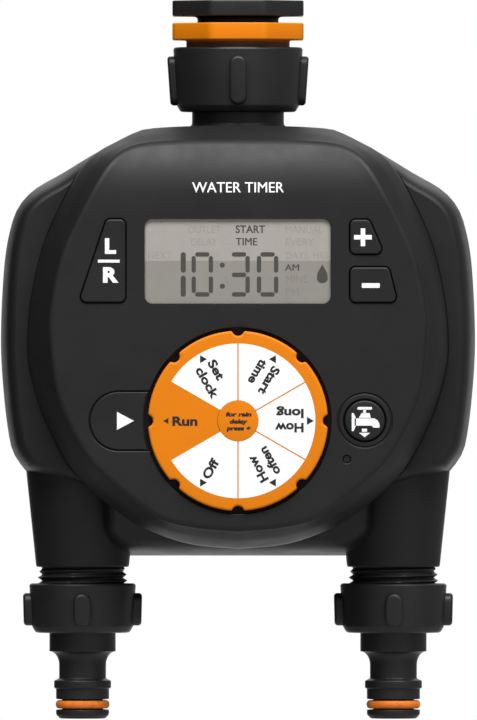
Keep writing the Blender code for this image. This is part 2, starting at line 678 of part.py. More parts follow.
def build_inlet():
    split = [(14.4, 186.4), (14.4, 184.1), (10.35, 184.1), (10.35, 186.4)]
    clip = turned("swivel_ring", split, STEEL, steps=16)
    cut(clip, box("split", (-1.2, -20, 180), (1.2, 0, 190), STEEL))
    nut_profile = [(18.7, 198.6), (19.15, 198.0), (18.1, 181.4), (16.6, 179.5), (11.35, 179.5),
                   (11.35, 183.7), (BORE_G1, 183.7), (BORE_G1, 198.6)]
    nut = turned("inlet_swivel_nut", nut_profile, BLACK, steps=24)
    join(nut, rib_set(0, 181.5, 196.0, 5.0, 17.6, 20.6, 0))
    strainer = [(0, 172.8), (5.3, 172.8), (6.2, 190.0), (16.2, 190.0), (16.2, 188.1), (7.0, 188.1),
                (6.0, 172.0), (0, 172.0)]
    turned("inlet_strainer", strainer, INNER, steps=16)
    large = [(17, 205.7), (17, 201), (15.2, 200.75), (15.2, 198.6), (MALE_G1, 198.4), (MALE_G1, 190.6),
             (9.0, 190.6), (9.0, 192.6), (BORE_G34, 192.6), (BORE_G34, 205.7)]
    adapter = turned("large_adapter", large, ORANGE, steps=24)
    flange = octagon("flange", OCTAGON, 200.75, 205.75, ORANGE)
    cut(flange, disc("bore", BORE_G34, 190, 210, ORANGE, steps=24))
    join(adapter, flange)
    ring("adapter_washer", 13.0, 8.5, 193.0, 194.4, RUBBER, steps=16)
    small = [(15, 212.3), (15, 208.0), (ROOT_G34, 207.8), (ROOT_G34, 206.0), (13.1, 205.6), (13.1, 194.8),
             (7.5, 194.8), (7.5, 197.4), (10.4, 197.4), (10.4, 212.3)]
    top = turned("small_adapter", small, BLACK, steps=24)
    rim = octagon("rim", OCTAGON, 207.8, TOP, BLACK)
    cut(rim, disc("rim_bore", 10.4, 200, 215, BLACK, steps=24))
    join(top, rim)
    ring("tap_washer", 10.0, 6.5, 197.8, 199.6, RUBBER, steps=16)


def build_connector(side_name, side):
    """A threaded connector: ribbed nut above, click nose below, with its washer and sealing ring."""
    x = side * OUTLET_X
    where = {"centre": (x, 0, 0), "steps": 18}
    waist = [(6.93 + 2.87 * (1 - math.cos(math.radians(a))), 15.8 + 4.1 * math.sin(math.radians(a)))
             for a in (75, 45, 15)]
    nose = [(15.3, 40.0), (15.75, 39.5), (14.95, 26.4), (13.9, 25.4), (9.8, 25.4), (9.8, 19.9)] + waist
    nose += [(6.93, 11.9), (8.44, 11.2), (8.44, 9.1), (7.85, 8.8), (7.85, 5.8), (6.0, 5.6), (6.0, 2.8),
             (7.85, 2.6), (7.85, 1.2), (6.7, 0.0), (4.0, 0.0), (4.0, 28.0), (BORE_G34, 28.0),
             (BORE_G34, 40.0)]
    connector = turned(side_name + "_connector", nose, BLACK, **where)
    join(connector, rib_set(x, 27.5, 37.1, 5.3, 14.6, 17.3, x))
    ring(side_name + "_connector_washer", 13.0, 5.0, 28.3, 30.1, RUBBER, **where)
    section = [(7.15 + 0.82 * math.cos(math.radians(a)), 4.2 + 1.2 * math.sin(math.radians(a)))
               for a in range(90, -270, -60)]
    turned(side_name + "_nose_o_ring", section, ORANGE, **where)


# ---------------------------------------------------------------- power

def build_power():
    tray = box("battery_tray", (-19.5, 14.0, 78.0), (19.5, 35.4, 134.6), INNER)
    cut(tray, box("tray_hollow", (-18, 15.5, 79.5), (18, 45, 133.1), INNER))
    for label, x in (("left", -8.6), ("right", 8.6)):
        cell = [(0, 131.5), (2.6, 131.5), (2.6, 130.3), (CELL_R, 130.0), (CELL_R, 131.5 - CELL_LENGTH),
                (0, 81.0)]
        turned("battery_" + label, cell, CELL, centre=(x, 24.5, 0), steps=16)
    box("upper_contact", (-15, 16.5, 132.0), (15, 32.5, 132.6), STEEL)
    box("lower_contact", (-15, 16.5, 80.0), (15, 32.5, 80.6), STEEL)


def build_battery_door():
    door = plate("battery_door", [rounded(rectangle(-23.6, 23.6, HINGE_Z, 136.6), 1.4)], HINGE_Y, BACK - 0.2,
                 BLACK)
    join(door, disc("knuckle", 1.7, -23.6, 23.6, BLACK, centre=(0, HINGE_Y, HINGE_Z), axis="X", steps=16))
    cut(door, disc("pin_way", 1.1, -30, 30, BLACK, centre=(0, HINGE_Y, HINGE_Z), axis="X", steps=12))
    disc("door_hinge_pin", 0.8, -25.8, 25.8, STEEL, centre=(0, HINGE_Y, HINGE_Z), axis="X", steps=12)
    seal_outside = rounded(rectangle(-22.6, 22.6, 79.4, 134.5), 2)
    seal_inside = rounded(rectangle(-21.2, 21.2, 80.8, 133), 2)
    plate("door_seal", [seal_outside, seal_inside], 39.2, 40.4, RUBBER)


build_front_cover()
build_rear_housing()
build_case_trim()
build_display()
build_dial()
build_buttons()
build_board()
build_manifold()
for side_label, side_sign in (("left", -1), ("right", 1)):
    build_valve(side_label, side_sign)
    build_connector(side_label, side_sign)
build_inlet()
build_power()
build_battery_door()
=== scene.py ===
"""The looks of the two-outlet drip irrigation timer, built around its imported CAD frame.

Lengths are in millimetres and turned into metres by MM where a mesh is made. The front faces -Y,
the inlet and outlet axes lie in Y = 0, and places come from the CAD nodes' boxes where they can.
"""
import math

import bmesh
import bpy
from mathutils import Matrix, Vector


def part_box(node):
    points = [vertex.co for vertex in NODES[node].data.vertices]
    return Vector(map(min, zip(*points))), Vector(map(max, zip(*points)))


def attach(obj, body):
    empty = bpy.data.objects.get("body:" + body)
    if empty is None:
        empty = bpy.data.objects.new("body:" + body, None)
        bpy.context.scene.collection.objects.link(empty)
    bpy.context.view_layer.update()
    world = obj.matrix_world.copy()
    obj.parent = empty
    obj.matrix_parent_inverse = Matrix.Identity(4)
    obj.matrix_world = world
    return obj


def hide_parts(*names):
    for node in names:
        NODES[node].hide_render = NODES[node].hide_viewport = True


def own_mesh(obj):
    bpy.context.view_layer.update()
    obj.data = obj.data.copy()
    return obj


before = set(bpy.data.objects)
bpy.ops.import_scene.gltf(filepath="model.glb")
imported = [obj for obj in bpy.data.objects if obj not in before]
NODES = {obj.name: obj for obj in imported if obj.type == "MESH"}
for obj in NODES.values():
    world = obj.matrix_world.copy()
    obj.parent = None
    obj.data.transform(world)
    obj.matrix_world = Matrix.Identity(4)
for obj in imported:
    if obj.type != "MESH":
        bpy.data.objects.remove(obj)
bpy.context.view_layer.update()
SCENE = bpy.context.scene

MM = 0.001


def mm_box(node):
    """A CAD node's lowest and highest corner in millimetres."""
    low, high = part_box(node)
    return Vector(low) / MM, Vector(high) / MM


def middle(node):
    low, high = mm_box(node)
    return (low + high) / 2


# Driving places, read from the frame
COVER_LOW, COVER_HIGH = mm_box("front_cover")
FACE = COVER_LOW.y                    # the cover's flat face
SEAM = -20.0                          # plane where the cover meets the housing
BACK = mm_box("rear_housing")[1].y
DIAL = middle("mode_dial")
DIAL_FRONT = mm_box("mode_dial")[0].y
DIAL_R = (mm_box("mode_dial")[1].x - mm_box("mode_dial")[0].x) / 2
OUTLET_X = middle("right_connector").x
WINDOW_LOW, WINDOW_HIGH = mm_box("lcd_window")
MANUAL = middle("manual_button")
WALL = 2.3
GAP = 0.3
POCKET_R = 27.5
POCKET_FLOOR = -37.6
BROW_Z = 152.0
BROW_LENGTH = 25.0
BROW_DEPTH = 10.5
DRAFT = 2.9                           # how much the housing widens behind the seam
BELLY_Z = 64.0                        # below this height the housing's front rolls back
BELLY_DEPTH = 9.0
BELLY_END = 14.0
FACE_EDGE = 1.9                       # rounding of the face's rim
TONE_STEP_Z = 135.3                   # the display is lighter above this height

# Half outlines of the case, right side, from the top centre down to the bottom centre
HOUSING_UPPER = [
    (0, 175.3), (14, 175.1), (24, 174.6), (29.0, 173.8), (36.0, 170.45), (42.9, 167.0), (51.8, 161.6),
    (59.8, 157.0), (64.5, 152.3), (67.2, 146), (69.3, 134), (70.3, 112), (69.3, 94.6), (67.5, 81.5),
    (65.6, 76.8), (62.6, 72.9),
]
POD_OUTLINE = [
    (0, 175.3), (14, 175.1), (24, 174.6), (29.0, 173.8), (36.0, 170.45), (42.6, 166.6), (47.7, 160.3),
    (54.6, 146.8), (58, 137.5), (60.9, 124), (61.9, 111.8), (61.2, 102.9), (56.8, 88.4), (47.9, 72.4),
    (34.6, 60.6), (25.8, 55.6), (13.8, 51.7), (0, 50.4),
]
FACE_OUTLINE = [
    (0, 171.2), (14, 171.1), (24, 170.6), (29.5, 169.8), (33.9, 168.1), (38.2, 164.4), (43, 156.6),
    (50.6, 141.5), (53.7, 132.2), (55.7, 120.9), (55.9, 114.1), (53.7, 96), (46.2, 79.5), (38.3, 70.7),
    (24.2, 59.9), (13.8, 56.7), (0, 55.4),
]
HALF_STEPS = 64      # points on half of a case outline

# Valve return springs
SPRING_R = 2.2
SPRING_WIRE = 0.3
SPRING_TURNS = 3


# ---------------------------------------------------------------- materials

class Nodes:
    """A material's node tree with short calls for the nodes that every finish here uses."""

    def __init__(self, name):
        self.material = bpy.data.materials.new(name)
        self.material.use_nodes = True
        self.tree = self.material.node_tree
        self.shader = self.tree.nodes["Principled BSDF"]
        self.place = self.add("ShaderNodeTexCoord").outputs["Object"]

    def add(self, kind, **values):
        node = self.tree.nodes.new(kind)
        for key, value in values.items():
            setattr(node, key, value)
        return node

    def link(self, source, target):
        self.tree.links.new(source, target)

    def noise(self, size_mm, detail=2.0, stretch=(1, 1, 1)):
        """Noise whose features are about `size_mm` across."""
        mapping = self.add("ShaderNodeMapping")
        mapping.inputs["Scale"].default_value = stretch
        self.link(self.place, mapping.inputs["Vector"])
        noise = self.add("ShaderNodeTexNoise")
        noise.inputs["Scale"].default_value = 1.0 / (size_mm * MM)
        noise.inputs["Detail"].default_value = detail
        self.link(mapping.outputs["Vector"], noise.inputs["Vector"])
        return noise.outputs["Fac"]

    def spread(self, source, low, high):
        """Remaps a 0 to 1 value to low..high."""
        remap = self.add("ShaderNodeMapRange")
        remap.inputs["From Min"].default_value = 0.3
        remap.inputs["From Max"].default_value = 0.7
        remap.inputs["To Min"].default_value = low
        remap.inputs["To Max"].default_value = high
        self.link(source, remap.inputs["Value"])
        return remap.outputs["Result"]

    def mix(self, factor, first, second):
        """A colour between two colours."""
        blend = self.add("ShaderNodeMix", data_type="RGBA")
        for socket, value in ((blend.inputs[6], first), (blend.inputs[7], second)):
            if isinstance(value, tuple):
                socket.default_value = (*value, 1.0)
            else:
                self.link(value, socket)
        self.link(factor, blend.inputs[0])
        return blend.outputs[2]

    def bump(self, height, strength, depth_mm):
        bump = self.add("ShaderNodeBump")
        bump.inputs["Strength"].default_value = strength
        bump.inputs["Distance"].default_value = depth_mm * MM
        self.link(height, bump.inputs["Height"])
        if self.shader.inputs["Normal"].is_linked:
            self.link(self.shader.inputs["Normal"].links[0].from_socket, bump.inputs["Normal"])
        self.link(bump.outputs["Normal"], self.shader.inputs["Normal"])


def moulded(name, colour, roughness, grain_mm=0.35, grain=0.25, specular=0.5, drift=0.12):
    """Moulded plastic: fine spark texture, a slow drift of tone and of roughness."""
    finish = Nodes(name)
    shade = tuple(c * (1 - drift) for c in colour)
    light = tuple(min(c * (1 + drift), 1) for c in colour)
    finish.link(finish.mix(finish.spread(finish.noise(22, 3), 0, 1), shade, light),
                finish.shader.inputs["Base Color"])
    rough = finish.spread(finish.noise(9, 4), roughness - 0.04, roughness + 0.05)
    finish.link(rough, finish.shader.inputs["Roughness"])
    finish.shader.inputs["Specular IOR Level"].default_value = specular
    finish.bump(finish.noise(grain_mm, 2), grain, 0.03)
    finish.bump(finish.noise(14, 1), 0.12, 0.2)
    return finish.material


def printed(name, colour, roughness=0.45):
    """Screen-printed ink, a little uneven in density."""
    finish = Nodes(name)
    dull = tuple(c * 0.94 for c in colour)
    finish.link(finish.mix(finish.spread(finish.noise(1.4, 3), 0, 1), dull, colour),
                finish.shader.inputs["Base Color"])
    finish.link(finish.spread(finish.noise(0.6), roughness - 0.05, roughness + 0.08),
                finish.shader.inputs["Roughness"])
    finish.bump(finish.noise(0.25), 0.15, 0.01)
    return finish.material


def metal(name, colour, roughness, stretch=(1, 1, 12)):
    """Drawn or turned metal with fine lines."""
    finish = Nodes(name)
    finish.shader.inputs["Metallic"].default_value = 1.0
    dark = tuple(c * 0.85 for c in colour)
    lines = finish.noise(1.2, 3, stretch)
    finish.link(finish.mix(lines, dark, colour), finish.shader.inputs["Base Color"])
    finish.link(finish.spread(lines, roughness - 0.06, roughness + 0.1), finish.shader.inputs["Roughness"])
    finish.bump(lines, 0.2, 0.02)
    return finish.material


def rubber(name, colour, roughness=0.6):
    finish = Nodes(name)
    bloom = tuple(min(c * 1.5 + 0.004, 1) for c in colour)
    finish.link(finish.mix(finish.spread(finish.noise(3, 4), 0, 1), colour, bloom),
                finish.shader.inputs["Base Color"])
    finish.link(finish.spread(finish.noise(2), roughness - 0.06, roughness + 0.06),
                finish.shader.inputs["Roughness"])
    finish.bump(finish.noise(0.5, 3), 0.2, 0.03)
    return finish.material


def display_panel():
    """A reflective grey display: its upper part is lighter, with faint polariser mottling."""
    finish = Nodes("display_panel")
    split = finish.add("ShaderNodeSeparateXYZ")
    finish.link(finish.place, split.inputs["Vector"])
    height = finish.add("ShaderNodeMapRange")
    height.inputs["From Min"].default_value = (TONE_STEP_Z - 0.1) * MM
    height.inputs["From Max"].default_value = (TONE_STEP_Z + 0.1) * MM
    finish.link(split.outputs["Z"], height.inputs["Value"])
    tone = finish.mix(height.outputs["Result"], (0.29, 0.275, 0.25), (0.395, 0.37, 0.345))
    grain = finish.mix(finish.spread(finish.noise(5, 3), 0, 1), (0.94, 0.94, 0.94), (1, 1, 1))
    blend = finish.add("ShaderNodeMix", data_type="RGBA", blend_type="MULTIPLY")
    blend.inputs[0].default_value = 1.0
    finish.link(tone, blend.inputs[6])
    finish.link(grain, blend.inputs[7])
    finish.link(blend.outputs[2], finish.shader.inputs["Base Color"])
    finish.link(finish.spread(finish.noise(0.4), 0.4, 0.5), finish.shader.inputs["Roughness"])
    return finish.material


def window_clear():
    """A thin clear window: it lets light straight through and keeps a faint polished reflection."""
    finish = Nodes("window_clear")
    finish.tree.nodes.remove(finish.shader)
    output = finish.tree.nodes["Material Output"]
    clear = finish.add("ShaderNodeBsdfTransparent")
    clear.inputs["Color"].default_value = (0.985, 0.985, 0.98, 1)
    gloss = finish.add("ShaderNodeBsdfGlossy")
    finish.link(finish.spread(finish.noise(6, 2), 0.04, 0.09), gloss.inputs["Roughness"])
    fresnel = finish.add("ShaderNodeFresnel")
    fresnel.inputs["IOR"].default_value = 1.3
    seen = finish.add("ShaderNodeNewGeometry")
    outer = finish.add("ShaderNodeMath", operation="SUBTRACT", use_clamp=True)
    finish.link(fresnel.outputs["Fac"], outer.inputs[0])
    finish.link(seen.outputs["Backfacing"], outer.inputs[1])
    both = finish.add("ShaderNodeMixShader")
    finish.link(outer.outputs["Value"], both.inputs["Fac"])
    finish.link(clear.outputs["BSDF"], both.inputs[1])
    finish.link(gloss.outputs["BSDF"], both.inputs[2])
    finish.link(both.outputs["Shader"], output.inputs["Surface"])
    return finish.material


def cell_sleeve():
    """A battery's sleeve: dark body with a copper-coloured shoulder band, no markings."""
    finish = Nodes("cell_sleeve")
    split = finish.add("ShaderNodeSeparateXYZ")
    finish.link(finish.place, split.inputs["Vector"])
    shoulder = finish.add("ShaderNodeMath", operation="GREATER_THAN")
    shoulder.inputs[1].default_value = (mm_box("battery_left")[1].z - 14.0) * MM
    finish.link(split.outputs["Z"], shoulder.inputs[0])
    finish.link(finish.mix(shoulder.outputs["Value"], (0.02, 0.02, 0.022), (0.55, 0.22, 0.05)),
                finish.shader.inputs["Base Color"])
    finish.link(finish.spread(finish.noise(3), 0.2, 0.32), finish.shader.inputs["Roughness"])
    finish.shader.inputs["Metallic"].default_value = 0.35
    return finish.material


def circuit_green():
    """Solder mask over copper tracks."""
    finish = Nodes("circuit_green")
    tracks = finish.add("ShaderNodeTexBrick")
    tracks.inputs["Scale"].default_value = 150.0
    tracks.inputs["Mortar Size"].default_value = 0.02
    finish.link(finish.place, tracks.inputs["Vector"])
    finish.link(finish.mix(tracks.outputs["Fac"], (0.012, 0.11, 0.04), (0.03, 0.2, 0.07)),
                finish.shader.inputs["Base Color"])
    finish.link(finish.spread(finish.noise(4), 0.25, 0.4), finish.shader.inputs["Roughness"])
    finish.bump(tracks.outputs["Fac"], 0.3, 0.04)
    return finish.material


CASE = moulded("case_black", (0.0098, 0.0098, 0.01), 0.5, specular=0.33)
BUTTON = moulded("button_black", (0.0112, 0.0112, 0.0114), 0.46, grain=0.15, specular=0.33)
FITTING = moulded("fitting_black", (0.012, 0.012, 0.0123), 0.44, grain=0.2, specular=0.42)
ORANGE = moulded("orange_plastic", (0.72, 0.197, 0.001), 0.5, grain=0.15, specular=0.2, drift=0.03)
RING_ORANGE = rubber("orange_ring", (0.62, 0.15, 0.003), 0.65)
# Painted shade: brown for the orange adapter neck where it lies in shadow under its flange
NECK_SHADE_BROWN = rubber("painted_neck_shade", (0.12, 0.058, 0.022), 0.6)
INK_WHITE = printed("ink_white", (0.9, 0.9, 0.9))
INK_BLACK = printed("ink_black", (0.012, 0.012, 0.013))
LABEL_WHITE = printed("label_white", (0.93, 0.93, 0.93), 0.5)
SEGMENT = printed("display_segment", (0.06, 0.058, 0.053), 0.5)
GHOST = printed("display_ghost", (0.33, 0.31, 0.288), 0.5)
LOW_GHOST = printed("display_low_ghost", (0.245, 0.232, 0.212), 0.5)
PANEL = display_panel()
WINDOW = window_clear()
LENS = moulded("light_lens", (0.009, 0.003, 0.003), 0.3, grain=0.05)
SEAL = rubber("seal_rubber", (0.014, 0.014, 0.014))
INNER = moulded("inner_grey", (0.022, 0.022, 0.023), 0.5, drift=0.2)
GREEN = circuit_green()
COPPER = metal("coil_copper", (0.65, 0.28, 0.12), 0.3, (1, 14, 1))
STEEL = metal("steel", (0.62, 0.62, 0.61), 0.3)
SLEEVE = cell_sleeve()
JACKET = rubber("wire_jacket", (0.16, 0.012, 0.01), 0.45)
FLOOR = rubber("floor_pale", (0.8, 0.8, 0.79), 0.8)


# ---------------------------------------------------------------- outlines in X and Z

def smooth_path(points, per_span=10):
    """A Catmull-Rom curve through the points, as a dense polyline."""
    path = []
    last = len(points) - 1
    for k in range(last):
        p0 = Vector(points[max(k - 1, 0)])
        p1 = Vector(points[k])
        p2 = Vector(points[k + 1])
        p3 = Vector(points[min(k + 2, last)])
        for step in range(per_span):
            t = step / per_span
            bend = (2 * p0 - 5 * p1 + 4 * p2 - p3) * t * t + (3 * p1 - p0 - 3 * p2 + p3) * t ** 3
            path.append((2 * p1 + (p2 - p0) * t + bend) / 2)
    path.append(Vector(points[last]))
    return path


def resample(path, count):
    """`count` + 1 points at equal steps along a polyline."""
    reach = [0.0]
    for a, b in zip(path, path[1:]):
        reach.append(reach[-1] + (b - a).length)
    points = []
    span = 0
    for k in range(count + 1):
        want = reach[-1] * k / count
        while span < len(path) - 2 and reach[span + 1] < want:
            span += 1
        share = (want - reach[span]) / (reach[span + 1] - reach[span])
        points.append(path[span].lerp(path[span + 1], share))
    return points


def mirrored(half):
    """A closed clockwise outline from a right half that starts and ends on the middle line."""
    right = [(p[0], p[1]) for p in half]
    left = [(-x, z) for x, z in right[1:-1]]
    return right + left[::-1]


def inset(outline, distance):
    """Move each point of a clockwise outline inwards, square to the line through its neighbours."""
    moved = []
    count = len(outline)
    for k, (x, z) in enumerate(outline):
        before = Vector(outline[k - 1])
        after = Vector(outline[(k + 1) % count])
        along = (after - before).normalized()
        moved.append((x + along.y * distance, z - along.x * distance))
    return moved


def blend_outlines(a, b, share):
    return [tuple(Vector(p).lerp(Vector(q), share)) for p, q in zip(a, b)]


def arc(centre, radius, start, end, steps):
    """Points on an arc, angles in degrees anticlockwise from +X."""
    points = []
    for k in range(steps + 1):
        angle = math.radians(start + (end - start) * k / steps)
        points.append((centre[0] + radius * math.cos(angle), centre[1] + radius * math.sin(angle)))
    return points


def circle(centre, radius, steps=64):
    """A clockwise circle."""
    return arc(centre, radius, 360, 360 / steps, steps - 1)


def rounded(corners, radius, steps=6):
    """A clockwise polygon with every corner replaced by an arc of the given radius."""
    outline = []
    count = len(corners)
    for k, corner in enumerate(corners):
        here = Vector(corner)
        towards_a = (Vector(corners[k - 1]) - here).normalized()
        towards_b = (Vector(corners[(k + 1) % count]) - here).normalized()
        half_angle = towards_a.angle(towards_b) / 2
        reach = radius / math.tan(half_angle)
        heart = here + (towards_a + towards_b).normalized() * (radius / math.sin(half_angle))
        start = here + towards_a * reach - heart
        sweep = start.angle_signed(here + towards_b * reach - heart)
        for step in range(steps + 1):
            turn = Matrix.Rotation(-sweep * step / steps, 2)
            outline.append(tuple(heart + turn @ start))
    return outline


def rectangle(x_low, x_high, z_low, z_high):
    return [(x_low, z_low), (x_low, z_high), (x_high, z_high), (x_high, z_low)]


def stadium(x, z_low, z_high, width, steps=10):
    """A clockwise upright pill."""
    half = width / 2
    top = arc((x, z_high - half), half, 180, 0, steps)
    return top + arc((x, z_low + half), half, 0, -180, steps)


def housing_outline():
    upper = resample(smooth_path(HOUSING_UPPER), HALF_STEPS - 14)
    lip = [(57.8, 71.3), (52.5, 69.6), (47.5, 67.9), (43.9, 66.7), (42.4, 65.9), (41.5, 64.8), (41.15, 63.4)]
    belly = arc((31.6, 57.6), 9.5, -2, -90, 6)
    return mirrored(upper + [Vector(p) for p in lip + belly] + [Vector((0, 48.1))])


def pod_outline():
    return mirrored(resample(smooth_path(POD_OUTLINE), HALF_STEPS))


def face_outline():
    return mirrored(resample(smooth_path(FACE_OUTLINE), HALF_STEPS))


# ---------------------------------------------------------------- mesh building

def make(name, body, material, flat_y=False):
    """A new object from a bmesh in millimetres, smooth except over sharp edges."""
    bmesh.ops.recalc_face_normals(body, faces=body.faces)
    bmesh.ops.scale(body, vec=(MM, MM, MM), verts=body.verts)
    mesh = bpy.data.meshes.new(name)
    body.to_mesh(mesh)
    body.free()
    mesh.materials.append(material)
    mesh.shade_smooth()
    mesh.set_sharp_from_angle(angle=math.radians(38))
    if flat_y:
        for face in mesh.polygons:
            if abs(face.normal.y) > 0.9999:
                face.use_smooth = False
    piece = bpy.data.objects.new(name, mesh)
    SCENE.collection.objects.link(piece)
    return piece


def keep_flats_flat(piece):
    """Lean shading normals to the large faces, so that small roundings do not stain them."""
    step = piece.modifiers.new("flats", "WEIGHTED_NORMAL")
    step.keep_sharp = True
    step.weight = 100


def settle(piece, body, slot, *nodes):
    """Ride a CAD body and stand for the CAD nodes given; the slot argument is not used."""
    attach(piece, body)
    if nodes:
        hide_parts(*nodes)
    return piece


def skin(rings, close_ends=True, loop=False):
    """A bmesh through rings of equally many points; `loop` joins the last ring to the first."""
    body = bmesh.new()
    rows = [[body.verts.new(p) for p in ring] for ring in rings]
    pairs = list(zip(rows, rows[1:]))
    if loop:
        pairs.append((rows[-1], rows[0]))
    for near, far in pairs:
        for k in range(len(near)):
            n = (k + 1) % len(near)
            body.faces.new((near[k], near[n], far[n], far[k]))
    if close_ends and not loop:
        body.faces.new(rows[0][::-1])
        body.faces.new(rows[-1])
    return body


def fillet(profile, radius, steps=4):
    """Round each corner of an open profile; a point may carry its own radius as a third value."""
    soft = [tuple(profile[0][:2])]
    for k in range(1, len(profile) - 1):
        here = Vector(profile[k][:2])
        before = Vector(profile[k - 1][:2])
        after = Vector(profile[k + 1][:2])
        want = profile[k][2] if len(profile[k]) > 2 else radius
        towards_a = before - here
        towards_b = after - here
        turn = math.pi - towards_a.angle(towards_b)
        if want < 0.01 or turn < 0.03:
            soft.append(tuple(here))
            continue
        room = min(towards_a.length, towards_b.length) * 0.48
        reach = min(want * math.tan(turn / 2), room)
        start = here + towards_a.normalized() * reach
        end = here + towards_b.normalized() * reach
        for step in range(steps + 1):
            t = step / steps
            soft.append(tuple(start * (1 - t) ** 2 + here * 2 * t * (1 - t) + end * t * t))
    soft.append(tuple(profile[-1][:2]))
    return soft


AXES = {
    "Z": Matrix.Identity(3),
    "Y": Matrix.Rotation(math.radians(-90), 3, "X"),
    "-Y": Matrix.Rotation(math.radians(90), 3, "X"),
    "X": Matrix.Rotation(math.radians(90), 3, "Y"),
}


def revolve(profile, centre=(0, 0, 0), axis="Z", steps=128, soft=0.2):
    """A closed bmesh of revolution. The profile runs round the section and is closed for a ring."""
    tube = profile[0][0] > 0
    if tube:
        # start on the middle of the closing edge, so that both of its corners are rounded
        first = (Vector(profile[0][:2]) + Vector(profile[-1][:2])) / 2
        profile = [tuple(first)] + list(profile) + [tuple(first)]
    points = fillet(profile, soft)
    if tube:
        points = points[:-1]
    body = bmesh.new()
    turn = AXES[axis]
    columns = []
    for r, h in points:
        if r < 1e-6:
            columns.append([body.verts.new(Vector(centre) + turn @ Vector((0, 0, h)))])
            continue
        column = []
        for k in range(steps):
            angle = math.tau * k / steps
            place = turn @ Vector((r * math.cos(angle), r * math.sin(angle), h))
            column.append(body.verts.new(Vector(centre) + place))
        columns.append(column)
    pairs = list(zip(columns, columns[1:]))
    if tube:
        pairs.append((columns[-1], columns[0]))
    for upper, lower in pairs:
        for k in range(steps):
            n = (k + 1) % steps
            if len(upper) == 1:
                body.faces.new((upper[0], lower[n], lower[k]))
            elif len(lower) == 1:
                body.faces.new((upper[k], upper[n], lower[0]))
            else:
                body.faces.new((upper[k], upper[n], lower[n], lower[k]))
    return body


def turned(name, profile, material, soft=0.2, **where):
    return make(name, revolve(profile, soft=soft, **where), material)


def upright(points, y):
    """An outline in X and Z as world points at depth y."""
    return [(x, y, z) for x, z in points]


def slab(outline, front, back, edge=0.3, steps=3):
    """A bmesh plate whose front edge is rounded by `edge`; the outline is clockwise."""
    rings = []
    for k in range(steps + 1):
        angle = math.pi / 2 * k / steps
        ring = inset(outline, edge * (1 - math.sin(angle)))
        rings.append(upright(ring, front + edge * (1 - math.cos(angle))))
    rings.append(upright(outline, back))
    return skin(rings)


def flare(outline, depth, surface=FACE, lip=0.35):
    """A cutter for an opening whose edge is rounded over by `lip` at the surface."""
    rings = [upright(inset(outline, -lip * 1.9), surface - 0.5 * lip - 2.0)]
    for out, down in ((1.9, -0.5), (1.0, 0.02), (0.45, 0.25), (0.12, 0.62), (0.0, 1.05)):
        rings.append(upright(inset(outline, -lip * out), surface + lip * down))
    rings.append(upright(outline, depth))
    return skin(rings)


def merged(bodies):
    """One bmesh from several, which may overlap."""
    whole = bmesh.new()
    for body in bodies:
        mesh = bpy.data.meshes.new("part")
        body.to_mesh(mesh)
        body.free()
        whole.from_mesh(mesh)
        bpy.data.meshes.remove(mesh)
    return whole


def carve(name, solid, cutters, material, operation="DIFFERENCE"):
    """A Boolean of one solid with one merged set of tools, applied, as a bmesh in millimetres."""
    target = make(name, solid, material)
    tool = make(name + "_tool", merged(cutters), material)
    step = target.modifiers.new("carve", "BOOLEAN")
    step.operation = operation
    step.solver = "EXACT"
    step.use_self = len(cutters) > 1
    step.object = tool
    graph = bpy.context.evaluated_depsgraph_get()
    mesh = bpy.data.meshes.new_from_object(target.evaluated_get(graph))
    bpy.data.objects.remove(target)
    bpy.data.objects.remove(tool)
    body = bmesh.new()
    body.from_mesh(mesh)
    bmesh.ops.scale(body, vec=(1 / MM, 1 / MM, 1 / MM), verts=body.verts)
    bmesh.ops.remove_doubles(body, verts=body.verts, dist=0.0005)
    return body


def flat_shape(outlines, front, back):
    """A bmesh plate from closed outlines, holes included, for prints and thin sheets."""
    curve = bpy.data.curves.new("shape", "CURVE")
    curve.dimensions = "2D"
    curve.fill_mode = "BOTH"
    curve.extrude = (back - front) / 2
    for outline in outlines:
        spline = curve.splines.new("POLY")
        spline.points.add(len(outline) - 1)
        for point, (x, z) in zip(spline.points, outline):
            point.co = (x, z, 0, 1)
        spline.use_cyclic_u = True
    return curve_body(curve, (front + back) / 2)


def curve_body(curve, depth):
    """A flat curve or text as a bmesh standing in the XZ plane at y = depth, facing -Y."""
    holder = bpy.data.objects.new("shape", curve)
    SCENE.collection.objects.link(holder)
    bpy.context.view_layer.update()
    graph = bpy.context.evaluated_depsgraph_get()
    mesh = bpy.data.meshes.new_from_object(holder.evaluated_get(graph))
    bpy.data.objects.remove(holder)
    mesh.transform(Matrix.Translation((0, depth, 0)) @ Matrix.Rotation(math.radians(90), 4, "X"))
    body = bmesh.new()
    body.from_mesh(mesh)
    bmesh.ops.remove_doubles(body, verts=body.verts, dist=0.0005)
    return body


def struck_twice(body, shift):
    """Two copies of flat letters side by side, for a heavier stroke."""
    twin = body.copy()
    for vert in body.verts:
        vert.co.x -= shift
    for vert in twin.verts:
        vert.co.x += shift
        vert.co.y -= 0.004           # clear of the first copy, so the two never share a plane
    return merged([body, twin])


